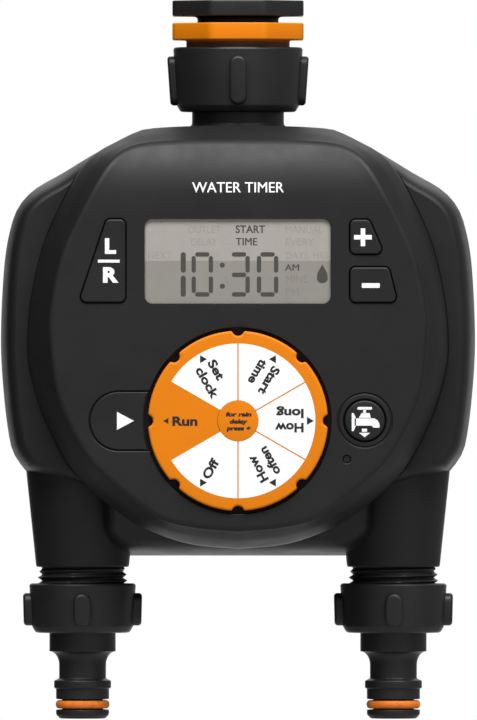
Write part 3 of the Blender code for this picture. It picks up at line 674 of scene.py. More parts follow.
def lettering(words, height, left, base, turn=0.0, about=(0, 0), y=0.0, bold=0.012, thick=0.03, width=None,
              align="LEFT", slant=0.0):
    """Words `height` mm tall, from (left, base), turned about a point by `turn` degrees."""
    text = bpy.data.curves.new("words", "FONT")
    text.body = words
    text.size = 1.0
    text.offset = 0.0 if "M" in words else bold      # the built-in M tears when it is thickened
    text.shear = slant
    text.extrude = thick / 2
    text.resolution_u = 4
    body = curve_body(text, 0)
    if "M" in words and bold:
        body = struck_twice(body, bold)
    x_low = min(v.co.x for v in body.verts)
    x_high = max(v.co.x for v in body.verts)
    scale = height / 0.73            # capitals of the built-in font are 0.73 of its size
    stretch = width / (x_high - x_low) if width else scale
    shift = {"LEFT": 0.0, "CENTER": 0.5}[align] * (x_high - x_low) * stretch
    spin = math.radians(turn)
    for vert in body.verts:
        x = left + (vert.co.x - x_low) * stretch - shift
        z = base + vert.co.z * scale
        vert.co.x = about[0] + x * math.cos(spin) - z * math.sin(spin)
        vert.co.z = about[1] + x * math.sin(spin) + z * math.cos(spin)
        vert.co.y = y + vert.co.y
    return body


# ---------------------------------------------------------------- case

def brow(z):
    """How far the face has rolled back at height z."""
    if z <= BROW_Z:
        return 0.0
    return BROW_DEPTH * ((z - BROW_Z) / BROW_LENGTH) ** 2.2


def roll_back(body):
    """Shear the upper part of the cover backwards, less and less towards the seam."""
    for vert in body.verts:
        share = (SEAM - vert.co.y) / (SEAM - FACE)
        vert.co.y += brow(vert.co.z) * min(max(share, 0.0), 1.0)


def toward(outline, heart, share):
    return [tuple(Vector(p).lerp(Vector(heart), share)) for p in outline]


def cover_rings(thinner, front):
    """Rings from the middle of the face out to the seam, `thinner` inside the outer form."""
    face = inset(face_outline(), thinner)
    pod = inset(pod_outline(), thinner)
    flat = inset(face, FACE_EDGE)
    rings = []
    for k in range(18, 0, -1):
        rings.append(upright(toward(flat, (0, 112), k / 18 * 0.97), front))
    for k in range(7):
        angle = math.pi / 2 * k / 6
        ring = inset(face, FACE_EDGE * (1 - math.sin(angle)))
        rings.append(upright(ring, front + 0.75 * FACE_EDGE * (1 - math.cos(angle))))
    side = smooth_path([(0.0, front + 0.75 * FACE_EDGE), (0.3, front + 4.6), (0.57, front + 8.0),
                        (0.93, SEAM - 6.3), (0.985, SEAM - 2.6), (1.0, SEAM - GAP - 0.6)], 4)
    for share, y in side[1:]:
        rings.append(upright(blend_outlines(face, pod, share), y))
    return rings


def build_front_shell():
    outside = cover_rings(0.0, FACE)
    pod = pod_outline()
    lip = [upright(inset(pod, 0.12), SEAM - GAP - 0.25), upright(inset(pod, 0.4), SEAM - GAP)]
    lip.append(upright(inset(pod, WALL), SEAM - GAP))
    inside = cover_rings(WALL, FACE + WALL)[::-1]
    shell = skin(outside + lip + inside)
    roll_back(shell)
    tools = [flare(circle((0, DIAL.z), POCKET_R, 160), -30, lip=0.15)]
    tools.append(flare(inset(window_outline(), -0.05), -30, lip=0.12))
    for outline in BUTTON_SHAPES.values():
        tools.append(flare(outline, -30, lip=0.15))
    tools.append(flare(circle((MANUAL.x, MANUAL.z), 6.3), -30, lip=0.3))
    tools.append(flare(circle((32.0, 76.9), 1.2, 24), -30, lip=0.25))
    tools.append(flare(tab_outline(8.9, POCKET_R - 1.0), FACE + 1.4, lip=0.25))
    groove = [(8.45, 42), (8.45, 41.1), (8.15, 40.75), (7.9, 40.6), (7.65, 40.75), (7.35, 41.1), (7.35, 42)]
    tools.append(revolve(groove, centre=(MANUAL.x, 0, MANUAL.z), axis="-Y", steps=64, soft=0))
    body = carve("front_shell", shell, tools, CASE)
    cover = settle(make("front_shell", body, CASE), "case", "case_black", "front_cover")
    keep_flats_flat(cover)
    well = [(30.0, FACE + 1.1), (30.0, -35.8), (2.6, -35.8), (2.6, POCKET_FLOOR), (POCKET_R + 0.1, POCKET_FLOOR),
            (POCKET_R + 0.1, FACE + 1.1)]
    settle(turned("dial_well", well, CASE, centre=(0, 0, DIAL.z), axis="Y", soft=0.4), "case", "case_black",
           "front_cover")


def window_outline():
    return rounded(rectangle(WINDOW_LOW.x + 0.2, WINDOW_HIGH.x - 0.2, WINDOW_LOW.z + 0.2, WINDOW_HIGH.z - 0.25), 2.2)


def tab_outline(radius, stop):
    """A tongue left of the dial: round at its left end, hollow against the dial at its right."""
    angle = math.degrees(math.asin(radius / stop))
    left = arc((-35.0, DIAL.z), radius, 270, 90, 24)
    return left + arc((0, DIAL.z), stop, 180 - angle, 180 + angle, 16)


def build_rear_shell():
    outline = housing_outline()
    rings = []
    shoulder = smooth_path([(4.8, SEAM), (4.4, SEAM + 0.12), (3.5, SEAM + 0.75), (2.6, SEAM + 2.2),
                            (1.75, SEAM + 5.2), (0.95, SEAM + 11.0), (0.35, SEAM + 19.0), (0.05, SEAM + 27.0),
                            (0.0, SEAM + 34.0)], 4)
    for edge, y in shoulder:
        rings.append(upright(shoulder_ring(outline, edge), y))
    for y in (24, 32):
        rings.append(upright(outline, y))
    for k in range(1, 9):
        angle = math.pi / 2 * k / 8
        rings.append(upright(inset(outline, 8.4 * (1 - math.cos(angle))), 34.0 + (BACK - 34.0) * math.sin(angle)))
    leg = [(0, 82), (17.6, 82), (13.7, 44.7, 1.0), (0, 44.7)]
    legs = [revolve(leg, centre=(side * OUTLET_X, 0, 0), steps=128) for side in (-1, 1)]
    shell = skin(rings)
    roll_under(shell)
    whole = carve("rear_shell", shell, legs, CASE, "UNION")
    inner = inset(outline, WALL)
    cavity = [(inset(inner, DRAFT), SEAM + WALL), (inset(inner, DRAFT * 0.6), -10.0), (inner, 14.0), (inner, 31.5),
              (inset(inner, 3.0), 38.0), (inset(inner, 6.2), 40.2)]
    tools = [skin([upright(ring, y) for ring, y in cavity])]
    roll_under(tools[0])
    pod = pod_outline()
    tools.append(skin([upright(inset(pod, 3.4), SEAM - 5), upright(inset(pod, 3.4), SEAM + 6)]))
    groove = [upright(inset(pod, -0.3), SEAM - 2), upright(inset(pod, -0.3), SEAM + 0.6),
              upright(inset(pod, 0.5), SEAM + 0.6), upright(inset(pod, 0.5), SEAM - 2)]
    tools.append(skin(groove, loop=True))
    for side in (-1, 1):
        bore = [(0, 30), (13.45, 30), (13.45, 45.6, 0.4), (12.5, 46.4), (12.5, 76), (0, 76)]
        tools.append(revolve(bore, centre=(side * OUTLET_X, 0, 0), steps=96))
    tools.append(revolve([(0, 165), (13.9, 165), (13.9, 182), (0, 182)], steps=96))
    tools.append(back_flare(rounded(rectangle(-24, 24, 75.2, 137), 0.7), 38.8))
    tools.append(back_flare(rounded(rectangle(-20.5, 20.5, 80.5, 132), 3), 30))
    for x, z in SCREW_PLACES:
        tools.append(back_flare(circle((x, z), 3.0, 32), 7.5))
    body = carve("rear_shell", whole, tools, CASE)
    shell = settle(make("rear_shell", body, CASE), "case", "case_black", "rear_housing")
    keep_flats_flat(shell)


def shoulder_ring(outline, edge):
    """The outline drawn in by `edge` round the shoulders and less under the inlet, where the cover is as high."""
    ring = []
    for point, drawn_in in zip(outline, inset(outline, edge)):
        rise = min(max((point[1] - 161.0) / 9.0, 0.0), 1.0)
        ring.append(tuple(Vector(drawn_in).lerp(Vector(point), 0.75 * rise)))
    return ring


def roll_under(body):
    """Curve the housing's front backwards towards its belly, between the legs."""
    for vert in body.verts:
        drop = max(BELLY_Z - vert.co.z, 0.0) / (BELLY_Z - 48.1)
        share = (BELLY_END - vert.co.y) / (BELLY_END - SEAM)
        vert.co.y += BELLY_DEPTH * drop ** 2 * min(max(share, 0.0), 1.0)


def back_flare(outline, depth):
    """The same rounded opening as flare(), cut from the back."""
    body = flare(outline, 2 * BACK - depth, surface=BACK, lip=0.4)
    for vert in body.verts:
        vert.co.y = 2 * BACK - vert.co.y
    bmesh.ops.reverse_faces(body, faces=body.faces)
    return body


SCREW_PLACES = [(middle("case_screw_" + str(k)).x, middle("case_screw_" + str(k)).z) for k in (1, 2, 3, 4)]

# Button openings, clockwise from the lower left corner
LEFT_RIGHT_CORNERS = [(-47.3, 122.8), (-38.9, 147.8), (-32.8, 147.8), (-32.8, 122.8)]
PLUS_CORNERS = [(32.65, 137.0), (32.65, 147.7), (38.8, 147.7), (43.5, 137.0)]
MINUS_CORNERS = [(32.65, 122.8), (32.65, 133.7), (44.6, 133.7), (47.3, 122.8)]
BUTTON_SHAPES = {
    "left_right_button": rounded(LEFT_RIGHT_CORNERS, 1.9),
    "plus_button": rounded(PLUS_CORNERS, 1.9),
    "minus_button": rounded(MINUS_CORNERS, 1.9),
}


# ---------------------------------------------------------------- controls on the face

def build_buttons():
    front = mm_box("plus_button")[0].y
    back = mm_box("plus_button")[1].y
    for name, outline in BUTTON_SHAPES.items():
        body = slab(inset(outline, GAP), front, back, edge=0.5, steps=5)
        settle(make(name + "_cap", body, BUTTON, flat_y=True), name, "button_black", name)
    ink = front - 0.02
    marks = [lettering("L", 4.3, -37.5, 137.6, y=ink, bold=0.05, width=3.3, align="CENTER"),
             lettering("R", 4.3, -37.4, 129.1, y=ink, bold=0.05, width=4.6, align="CENTER"),
             flat_shape([rectangle(-41.2, -34.8, 134.75, 135.6)], ink - 0.015, ink + 0.015)]
    settle(make("left_right_marks", merged(marks), INK_WHITE), "left_right_button", "dial_print")
    plus = cross_outline((36.75, 142.2), 2.62, 0.66)
    body = flat_shape([plus], ink - 0.015, ink + 0.015)
    settle(make("plus_mark", body, INK_WHITE), "plus_button", "dial_print")
    minus = rounded(rectangle(36.4, 41.7, 127.3, 128.7), 0.2, 3)
    body = flat_shape([minus], ink - 0.015, ink + 0.015)
    settle(make("minus_mark", body, INK_WHITE), "minus_button", "dial_print")
    where = {"centre": (MANUAL.x, 0, MANUAL.z), "axis": "-Y", "steps": 96}
    profile = [(0, 41.7), (5.9, 41.7, 0.6), (5.9, 38.4), (7.2, 38.4), (7.2, 37.7), (1.6, 37.7), (1.6, 35.4), (0, 35.4)]
    settle(turned("manual_button_cap", profile, BUTTON, soft=0.1, **where), "manual_button", "button_black",
           "manual_button")
    settle(make("manual_mark", tap_icon(ink), INK_WHITE), "manual_button", "dial_print")


def cross_outline(centre, reach, half):
    x, z = centre
    corners = [(-half, -reach), (-half, -half), (-reach, -half), (-reach, half), (-half, half), (-half, reach),
               (half, reach), (half, half), (reach, half), (reach, -half), (half, -half), (half, -reach)]
    return [(x + a, z + b) for a, b in corners]


def tap_icon(ink):
    """A small tap with an arrow below its spout; places are from the button's centre."""
    handle = rounded(rectangle(-2.2, 2.15, 3.2, 4.0), 0.35, 3)
    stem = rectangle(-0.45, 0.35, 2.1, 3.3)
    bonnet = [(-1.8, 0.8), (-0.95, 2.2), (1.4, 2.2), (1.75, 0.8)]
    pipe = [(-3.0, -1.5), (-3.0, 0.65), (2.8, 0.65), (3.8, 0.0), (4.3, -1.0), (4.35, -2.1), (2.45, -2.1),
            (2.05, -1.5)]
    flange = [(-3.85, -3.1), (-3.85, 2.2), (-3.3, 2.2), (-2.6, 0.65), (-2.6, -1.5), (-3.3, -3.1)]
    arrow_stem = rectangle(-0.85, 0.65, -3.3, -2.4)
    arrow_head = [(-0.05, -4.9), (-1.75, -3.6), (1.55, -3.6)]
    bodies = []
    for shape in (handle, stem, bonnet, pipe, flange, arrow_stem, arrow_head):
        placed = [(MANUAL.x + x, MANUAL.z + z) for x, z in shape]
        bodies.append(flat_shape([placed], ink - 0.015, ink + 0.015))
    return merged(bodies)


def dial_outline():
    """The knob's rim, clockwise, with eight rounded notches."""
    outline = []
    notch = [(-2.2, 0.0), (-1.85, -0.12), (-1.6, -0.42), (-1.38, -0.85), (-1.0, -1.2), (-0.55, -1.4), (0.0, -1.47)]
    notch = notch + [(-x, drop) for x, drop in notch[-2::-1]]
    for k in range(8):
        centre = 90 - 45 * k
        for across, drop in notch:
            angle = math.radians(centre) - across / DIAL_R
            outline.append(((DIAL_R + drop) * math.cos(angle), DIAL.z + (DIAL_R + drop) * math.sin(angle)))
        edge = math.degrees(2.2 / DIAL_R)
        for step in range(1, 14):
            angle = math.radians(centre - edge - (45 - 2 * edge) * step / 14)
            outline.append((DIAL_R * math.cos(angle), DIAL.z + DIAL_R * math.sin(angle)))
    return outline


def scaled_outline(outline, radius):
    """A circle of the given radius whose points sit at the angles of another outline's points."""
    points = []
    for x, z in outline:
        away = Vector((x, z - DIAL.z)).normalized() * radius
        points.append((away.x, DIAL.z + away.y))
    return points


def build_dial():
    outline = dial_outline()
    back = mm_box("mode_dial")[1].y
    rings = [upright(scaled_outline(outline, 2.7), back)]
    rings.append(upright(inset(outline, 0.4), back))
    rings.append(upright(outline, back - 0.4))
    rings.append(upright(outline, DIAL_FRONT + 0.7))
    for out, down in ((0.05, 0.4), (0.2, 0.16), (0.42, 0.03), (0.75, 0.0)):
        rings.append(upright(inset(outline, out), DIAL_FRONT + down))
    for radius, y in ((22.95, DIAL_FRONT), (22.9, DIAL_FRONT + 0.05), (22.9, DIAL_FRONT + 0.8),
                      (2.7, DIAL_FRONT + 0.8)):
        rings.append(upright(scaled_outline(outline, radius), y))
    settle(make("mode_dial_knob", skin(rings, loop=True), ORANGE), "dial", "orange_plastic", "mode_dial")
    build_dial_print()


def sector(start, end, inner, outer, gap):
    """A clockwise wedge between two angles in degrees, kept `gap` clear of its straight sides."""
    trim_in = math.degrees(math.asin(gap / inner))
    trim_out = math.degrees(math.asin(gap / outer))
    far = arc((0, DIAL.z), outer, end - trim_out, start + trim_out, 24)
    near = arc((0, DIAL.z), inner, start + trim_in, end - trim_in, 10)
    return far + near


def outward_triangle(angle, reach, size):
    """An equilateral triangle pointing away from the dial's centre."""
    heart = Vector((0, DIAL.z)) + Vector((math.cos(angle), math.sin(angle))) * reach
    corners = []
    for k in range(3):
        turn = angle - math.tau * k / 3
        corners.append((heart.x + size * math.cos(turn), heart.y + size * math.sin(turn)))
    return corners


# Dial positions: the direction of the sector's middle in degrees, then its words and their widths
DIAL_WORDS = [
    (180, [("Run", 7.4)]),
    (120, [("Set", 6.2), ("clock", 10.1)]),
    (60, [("Start", 8.9), ("time", 7.7)]),
    (0, [("How", 8.4), ("long", 8.0)]),
    (-60, [("How", 8.4), ("often", 8.9)]),
    (-120, [("Off", 6.2)]),
]
HUB_WORDS = [("for rain", 7.6, 1.35), ("delay", 5.4, -0.75), ("press +", 7.2, -2.75)]
LABEL_FRONT = DIAL_FRONT - 0.01       # the coloured label closes flush over the knob's recess
WHITE_FRONT = DIAL_FRONT - 0.03
HUB_FRONT = DIAL_FRONT - 0.06


def build_dial_print():
    ring = [(23.1, -LABEL_FRONT), (23.1, 0.02 - DIAL_FRONT - 0.03), (22.7, 41.75), (6.1, 41.75), (6.1, -LABEL_FRONT)]
    body = revolve(ring, centre=(0, 0, DIAL.z), axis="-Y", soft=0)
    settle(make("dial_label_base", body, ORANGE), "dial", "orange_plastic", "dial_label")
    wedges = []
    for k in range(5):
        heart = 120 - 60 * k
        shape = sector(heart - 30, heart + 30, 6.05, 22.75, 0.2)
        wedges.append(flat_shape([shape], WHITE_FRONT, LABEL_FRONT + 0.05))
    settle(make("dial_label_white", merged(wedges), LABEL_WHITE), "dial", "dial_print", "dial_label")
    ink = WHITE_FRONT - 0.02
    prints = []
    for direction, words in DIAL_WORDS:
        bases = [-1.3] if len(words) == 1 else [0.75, -3.4]
        for (word, width), low in zip(words, bases):
            prints.append(lettering(word, 2.65, -19.3, low, turn=direction - 180, about=(0, DIAL.z), y=ink,
                                    bold=0.038, width=width))
        size = 1.0 if direction == 180 else 1.35
        triangle = outward_triangle(math.radians(direction), 20.95, size)
        prints.append(flat_shape([triangle], ink - 0.015, ink + 0.015))
    settle(make("dial_words", merged(prints), INK_BLACK), "dial", "dial_print", "dial_label")
    hub = [(0, -HUB_FRONT), (6.0, -HUB_FRONT, 0.15), (6.0, 41.8), (0, 41.8)]
    settle(turned("dial_hub", hub, ORANGE, centre=(0, 0, DIAL.z), axis="-Y"), "dial", "orange_plastic",
           "dial_hub_cap")
    lines = []
    for words, width, low in HUB_WORDS:
        lines.append(lettering(words, 1.25, 0.2, DIAL.z + low, y=HUB_FRONT - 0.01, bold=0.06, width=width,
                               align="CENTER", slant=0.15, thick=0.02))
    settle(make("dial_hub_words", merged(lines), INK_BLACK), "dial", "dial_print", "dial_hub_cap")


def build_pointer():
    outline = tab_outline(8.5, POCKET_R + 0.4)
    low, high = mm_box("pointer_tab")
    body = slab(outline, low.y, high.y, edge=0.3)
    settle(make("pointer_tab_plate", body, CASE, flat_y=True), "case", "case_black", "pointer_tab")
    arrow = [(-35.6, DIAL.z - 2.65), (-35.6, DIAL.z + 2.65), (-30.6, DIAL.z)]
    body = flat_shape([arrow], low.y - 0.03, low.y + 0.01)
    settle(make("pointer_arrow", body, INK_WHITE), "case", "dial_print", "pointer_tab")


def build_title():
    """Plain generic words where the face carries its printed name, laid on the rolled surface."""
    body = lettering("WATER TIMER", 3.2, 0, 155.4, y=FACE - 0.05, bold=0.008, width=27.0, align="CENTER")
    for vert in body.verts:
        vert.co.y += brow(vert.co.z)
    settle(make("title_words", body, INK_WHITE), "case", "dial_print")


# ---------------------------------------------------------------- display

def bar(x_low, x_high, z_low, z_high):
    """One display segment with round ends."""
    radius = min(x_high - x_low, z_high - z_low) / 2 - 0.02
    return rounded(rectangle(x_low, x_high, z_low, z_high), radius, 5)


DIGIT_BARS = {
    "a": (0.95, 5.15, 136.5, 137.8),
    "g": (0.95, 5.15, 130.5, 131.8),
    "d": (0.95, 5.15, 124.75, 126.05),
    "b": (4.95, 6.2, 131.8, 136.7),
    "c": (4.95, 6.2, 125.8, 130.7),
    "f": (-0.1, 1.15, 131.8, 136.7),
    "e": (-0.1, 1.15, 125.8, 130.7),
}
# Left edge of each digit and its lit bars
DIGITS = [(-13.55, "abcdef"), (-2.75, "abgcd"), (5.65, "abcdef")]


# Unlit words: their left edge, base line and width
GHOSTS = [("OUTLET", -14.7, 143.5, 9.6), ("DELAY", -13.7, 139.85, 7.5), ("MANUAL", 14.0, 143.5, 10.9),
          ("EVERY", 14.0, 139.85, 8.4), ("DAYS", 14.1, 135.9, 6.5), ("HRS", 22.2, 135.9, 4.2),
          ("NEXT", -26.4, 135.9, 7.0)]
LOW_GHOSTS = [("MINS", 14.1, 128.9, 6.4), ("PM", 14.1, 125.2, 3.8)]


def build_display():
    pane = slab(inset(window_outline(), 0.05), FACE + 0.25, FACE + 0.8, edge=0.1)
    settle(make("lcd_window_pane", pane, WINDOW, flat_y=True), "case", "window_clear", "lcd_window")
    front = FACE + 0.9
    low, high = mm_box("lcd_module")
    outline = rounded(rectangle(low.x, high.x, low.z, high.z), 0.8, 3)
    body = slab(outline, front, high.y, edge=0.15)
    settle(make("lcd_panel", body, PANEL, flat_y=True), "case", "lcd_glass", "lcd_module")
    ink = front - 0.015
    shapes = [bar(-16.85, -15.35, 131.8, 137.8), bar(-16.85, -15.35, 124.7, 130.9)]
    for left, bars in DIGITS:
        for letter in bars:
            x_low, x_high, z_low, z_high = DIGIT_BARS[letter]
            shapes.append(bar(left + x_low, left + x_high, z_low, z_high))
    for z in (134.0, 127.8):
        shapes.append(circle((-4.6, z), 0.75, 24))
    drop = arc((24.8, 130.4), 1.7, -20, -160, 16)[::1] + [(23.35, 131.6), (24.05, 132.9), (24.8, 134.25),
                                                        (25.55, 132.9), (26.25, 131.6)]
    shapes.append(drop)
    bodies = [flat_shape([shape], ink - 0.01, ink + 0.01) for shape in shapes]
    for words, height, left, base, width in (("START", 2.3, -0.7, 143.5, 8.7), ("TIME", 2.3, -0.7, 139.85, 6.4),
                                             ("AM", 2.0, 13.8, 132.4, 4.2)):
        bodies.append(lettering(words, height, left, base, y=ink, bold=0.02, width=width, thick=0.02))
    settle(make("lcd_segments", merged(bodies), SEGMENT), "case", "lcd_glass", "lcd_module")
    for name, material, ghosts in (("lcd_ghosts", GHOST, GHOSTS), ("lcd_low_ghosts", LOW_GHOST, LOW_GHOSTS)):
        faint = []
        for words, left, base, width in ghosts:
            faint.append(lettering(words, 2.2, left, base, y=ink, bold=0.0, width=width, thick=0.02))
        settle(make(name, merged(faint), material), "case", "lcd_glass", "lcd_module")


# ---------------------------------------------------------------- inlet

def octagon_ring(flats, bore, low, high, corner=1.6, edge=0.45, per_side=14):
    """An eight-sided flange with rounded corners and edges and a round bore."""
    radius = flats / 2 / math.cos(math.pi / 8)
    corners = [(radius * math.cos(math.radians(112.5 - 45 * k)), radius * math.sin(math.radians(112.5 - 45 * k)))
               for k in range(8)]
    outline = resample_closed(rounded(corners, corner, 5), 8 * per_side)
    inner = []
    for x, y in outline:
        away = Vector((x, y)).normalized() * bore
        inner.append((away.x, away.y))
    rings = []
    for k in range(5):
        angle = math.pi / 2 * k / 4
        ring = inset(outline, edge * (1 - math.sin(angle)))
        rings.append([(x, y, low + edge * (1 - math.cos(angle))) for x, y in ring])
    for k in range(5):
        angle = math.pi / 2 * k / 4
        ring = inset(outline, edge * (1 - math.cos(angle)))
        rings.append([(x, y, high - edge * (1 - math.sin(angle))) for x, y in ring])
    for lift in (high, high - 0.4):
        grow = 0.3 if lift == high else 0.0
        rings.append([(x * (1 + grow / bore), y * (1 + grow / bore), lift) for x, y in inner])
    rings.append([(x, y, low) for x, y in inner])
    return skin(rings, loop=True)


def resample_closed(outline, count):
    """Equal steps round a closed outline."""
    path = [Vector(p) for p in outline]
    path.append(path[0])
    return [tuple(p) for p in resample(path, count)[:-1]]


def pill_ribs(x, z_low, z_high, width, low_reach, top_reach, sink, edge=1.0):
    """Four raised pills round a tapered nut, a quarter turn apart, their crowns on its taper."""
    outline = stadium(0, z_low, z_high, width)
    rings = []
    for k in range(6):
        angle = math.pi / 2 * k / 5
        ring = []
        for across, z in inset(outline, edge * (1 - math.sin(angle))):
            share = (z - z_low) / (z_high - z_low)
            reach = low_reach + (top_reach - low_reach) * share
            ring.append((across, edge * (1 - math.cos(angle)) - reach, z))
        rings.append(ring)
    rings.append([(across, y + sink, z) for across, y, z in rings[-1]])
    bodies = []
    for k in range(4):
        body = skin(rings)
        spin = Matrix.Translation((x, 0, 0)) @ Matrix.Rotation(math.radians(90 * k), 4, "Z")
        bmesh.ops.transform(body, matrix=spin, verts=body.verts)
        bodies.append(body)
    return bodies


def build_inlet():
    nut = [(18.75, 198.6, 0.5), (19.15, 198.0, 0.3), (18.1, 181.4, 1.6), (17.0, 179.5, 1.2), (11.35, 179.5),
           (11.35, 183.7), (16.95, 183.7), (16.95, 198.6)]
    body = revolve(nut)
    ribs = pill_ribs(0, 181.4, 196.0, 5.2, 20.0, 21.0, 3.6)
    settle(make("swivel_nut_shell", merged([body] + ribs), FITTING), "swivel_nut", "fitting_black",
           "inlet_swivel_nut")
    neck = [(17.0, 201.2), (17.0, 200.9), (15.2, 200.6, 1.2), (15.2, 198.6), (16.5, 198.4, 0.1), (16.5, 190.6),
            (9.0, 190.6), (9.0, 192.6), (13.5, 192.6), (13.5, 201.2)]
    body = merged([revolve(neck), octagon_ring(38.8, 13.5, 200.75, 205.75)])
    settle(make("large_adapter_body", body, ORANGE), "large_adapter", "orange_plastic", "large_adapter")
    # Painted shade: this brown band is the orange neck in shadow under the flange, though its slot is given as
    # seal_rubber
    band = [(15.3, 198.62), (15.3, 200.5, 0.3), (14.8, 200.5), (14.8, 198.62)]
    settle(turned("large_adapter_shade_band", band, NECK_SHADE_BROWN), "large_adapter", "seal_rubber")
    neck = [(14.0, 208.2), (14.0, 207.9), (12.0, 207.4, 1.2), (12.0, 206.0), (13.1, 205.6), (13.1, 194.8),
            (7.5, 194.8), (7.5, 197.4), (10.4, 197.4), (10.4, 208.2)]
    body = merged([revolve(neck), octagon_ring(38.8, 10.4, 207.8, mm_box("small_adapter")[1].z)])
    settle(make("small_adapter_body", body, FITTING), "small_adapter", "fitting_black", "small_adapter")
    collar = [(13.6, 179.42), (13.6, 175.9, 1.0), (14.6, 174.6), (14.6, 172.0), (13.2, 172.0), (13.2, 179.42)]
    settle(turned("inlet_neck", collar, FITTING), "case", "fitting_black")


# ---------------------------------------------------------------- outlets

def screw_thread(x, root, crest, pitch, low, high, bore):
    """A closed ring with a helical thread on its outside that runs out at both ends."""
    around = 120
    rows = int((high - low) / pitch * 14)
    rings = []
    for row in range(rows + 1):
        z = low + (high - low) * row / rows
        fade = min(1.0, (z - low) / 0.8, (high - z) / 4.0)
        ring = []
        for k in range(around):
            phase = (z / pitch - k / around) % 1.0
            wave = max(0.0, 1.0 - abs(phase - 0.5) / 0.44)
            radius = root + (crest - root) * min(wave * 1.12, 1.0) * fade
            angle = math.tau * k / around
            ring.append((x + radius * math.cos(angle), radius * math.sin(angle), z))
        rings.append(ring)
    for z in (high, low):
        edge = []
        for k in range(around):
            angle = math.tau * k / around
            edge.append((x + bore * math.cos(angle), bore * math.sin(angle), z))
        rings.append(edge)
    return skin(rings, loop=True)


def build_outlet(side_name, side):
    x = side * OUTLET_X
    where = {"centre": (x, 0, 0), "steps": 128}
    thread = screw_thread(x, 12.05, 13.2, 1.814, 30.6, 46.0, 11.2)
    settle(make(side_name + "_outlet_thread", thread, FITTING), "case", "fitting_black")
    waist = [(6.93 + 2.87 * (1 - math.cos(math.radians(a))), 15.8 + 4.1 * math.sin(math.radians(a)), 0)
             for a in range(85, 0, -10)]
    profile = [(15.2, 40.0, 0.4), (15.75, 39.5, 0.3), (15.0, 27.4, 1.8), (13.9, 25.4, 1.4), (9.8, 25.4, 0.2),
               (9.8, 19.9, 0.1)] + waist
    profile += [(6.93, 11.9, 0.4), (8.44, 11.2, 0.5), (8.44, 9.1, 0.5), (7.85, 8.8, 0.2), (7.85, 5.8, 0.2),
                (6.0, 5.6, 0.1), (6.0, 2.8, 0.1), (7.85, 2.6, 0.2), (7.85, 1.2, 1.3), (6.7, 0.0, 0.8),
                (4.0, 0.0, 0.3), (4.0, 28.0), (13.5, 28.0), (13.5, 40.0)]
    ribs = pill_ribs(x, 27.5, 37.15, 5.4, 17.4, 17.65, 3.2)
    body = merged([revolve(profile, **where)] + ribs)
    name = side_name + "_connector"
    settle(make(name + "_body", body, FITTING), name, "fitting_black", name)
    section = [(7.15 + 0.82 * math.cos(math.tau * k / 16), 4.2 + 1.2 * math.sin(math.tau * k / 16), 0)
               for k in range(16)]
    ring = side_name + "_nose_o_ring"
    settle(turned(ring + "_rubber", section[::-1], RING_ORANGE, **where), name, "orange_ring", ring)


# ---------------------------------------------------------------- valve springs

def build_springs():
    """The return springs, as coils of wire at one fixed length."""
    for side_name in ("left", "right"):
        node = side_name + "_plunger_spring"
        low, high = mm_box(node)
        heart = middle(node)
        start = low.y + SPRING_WIRE
        length = high.y - low.y - 2 * SPRING_WIRE
        rings = []
        for k in range(SPRING_TURNS * 24 + 1):
            angle = math.tau * k / 24
            away = Vector((math.cos(angle), 0, math.sin(angle)))
            spot = Vector((heart.x, start + length * k / (SPRING_TURNS * 24), heart.z)) + away * SPRING_R
            ring = []
            for step in range(8):
                turn = math.tau * step / 8
                ring.append(spot + SPRING_WIRE * (away * math.cos(turn) + Vector((0, math.sin(turn), 0))))
            rings.append(ring)
        piece = settle(make(node + "_coil", skin(rings), STEEL), "case", "steel", node)
        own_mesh(piece)


# ---------------------------------------------------------------- back

def build_battery_door():
    low, high = mm_box("battery_door")
    outline = rounded(rectangle(low.x, high.x, low.z + 1.7, high.z), 1.4)
    bodies = [slab(outline, -high.y, -(low.y + 1.7), edge=0.5, steps=4)]
    for vert in bodies[0].verts:
        vert.co.y = -vert.co.y
    bmesh.ops.reverse_faces(bodies[0], faces=bodies[0].faces)
    hinge_z = low.z + 1.7
    hinge_y = low.y + 1.7
    knuckle = [(1.7, high.x), (1.7, low.x), (1.1, low.x), (1.1, high.x)]
    bodies.append(revolve(knuckle, centre=(0, hinge_y, hinge_z), axis="X", steps=32, soft=0.15))
    for k in range(6):
        z = high.z - 6.0 - 2.4 * k
        rib = stadium(0, -9.0, 9.0, 1.1, 6)
        grip = slab([(b, z + a) for a, b in rib][::-1], -(high.y + 0.2), -(high.y - 0.5), edge=0.35)
        for vert in grip.verts:
            vert.co.y = -vert.co.y
        bmesh.ops.reverse_faces(grip, faces=grip.faces)
        bodies.append(grip)
    settle(make("battery_door_panel", merged(bodies), CASE), "battery_door", "case_black", "battery_door")


# ---------------------------------------------------------------- CAD nodes that show as they are

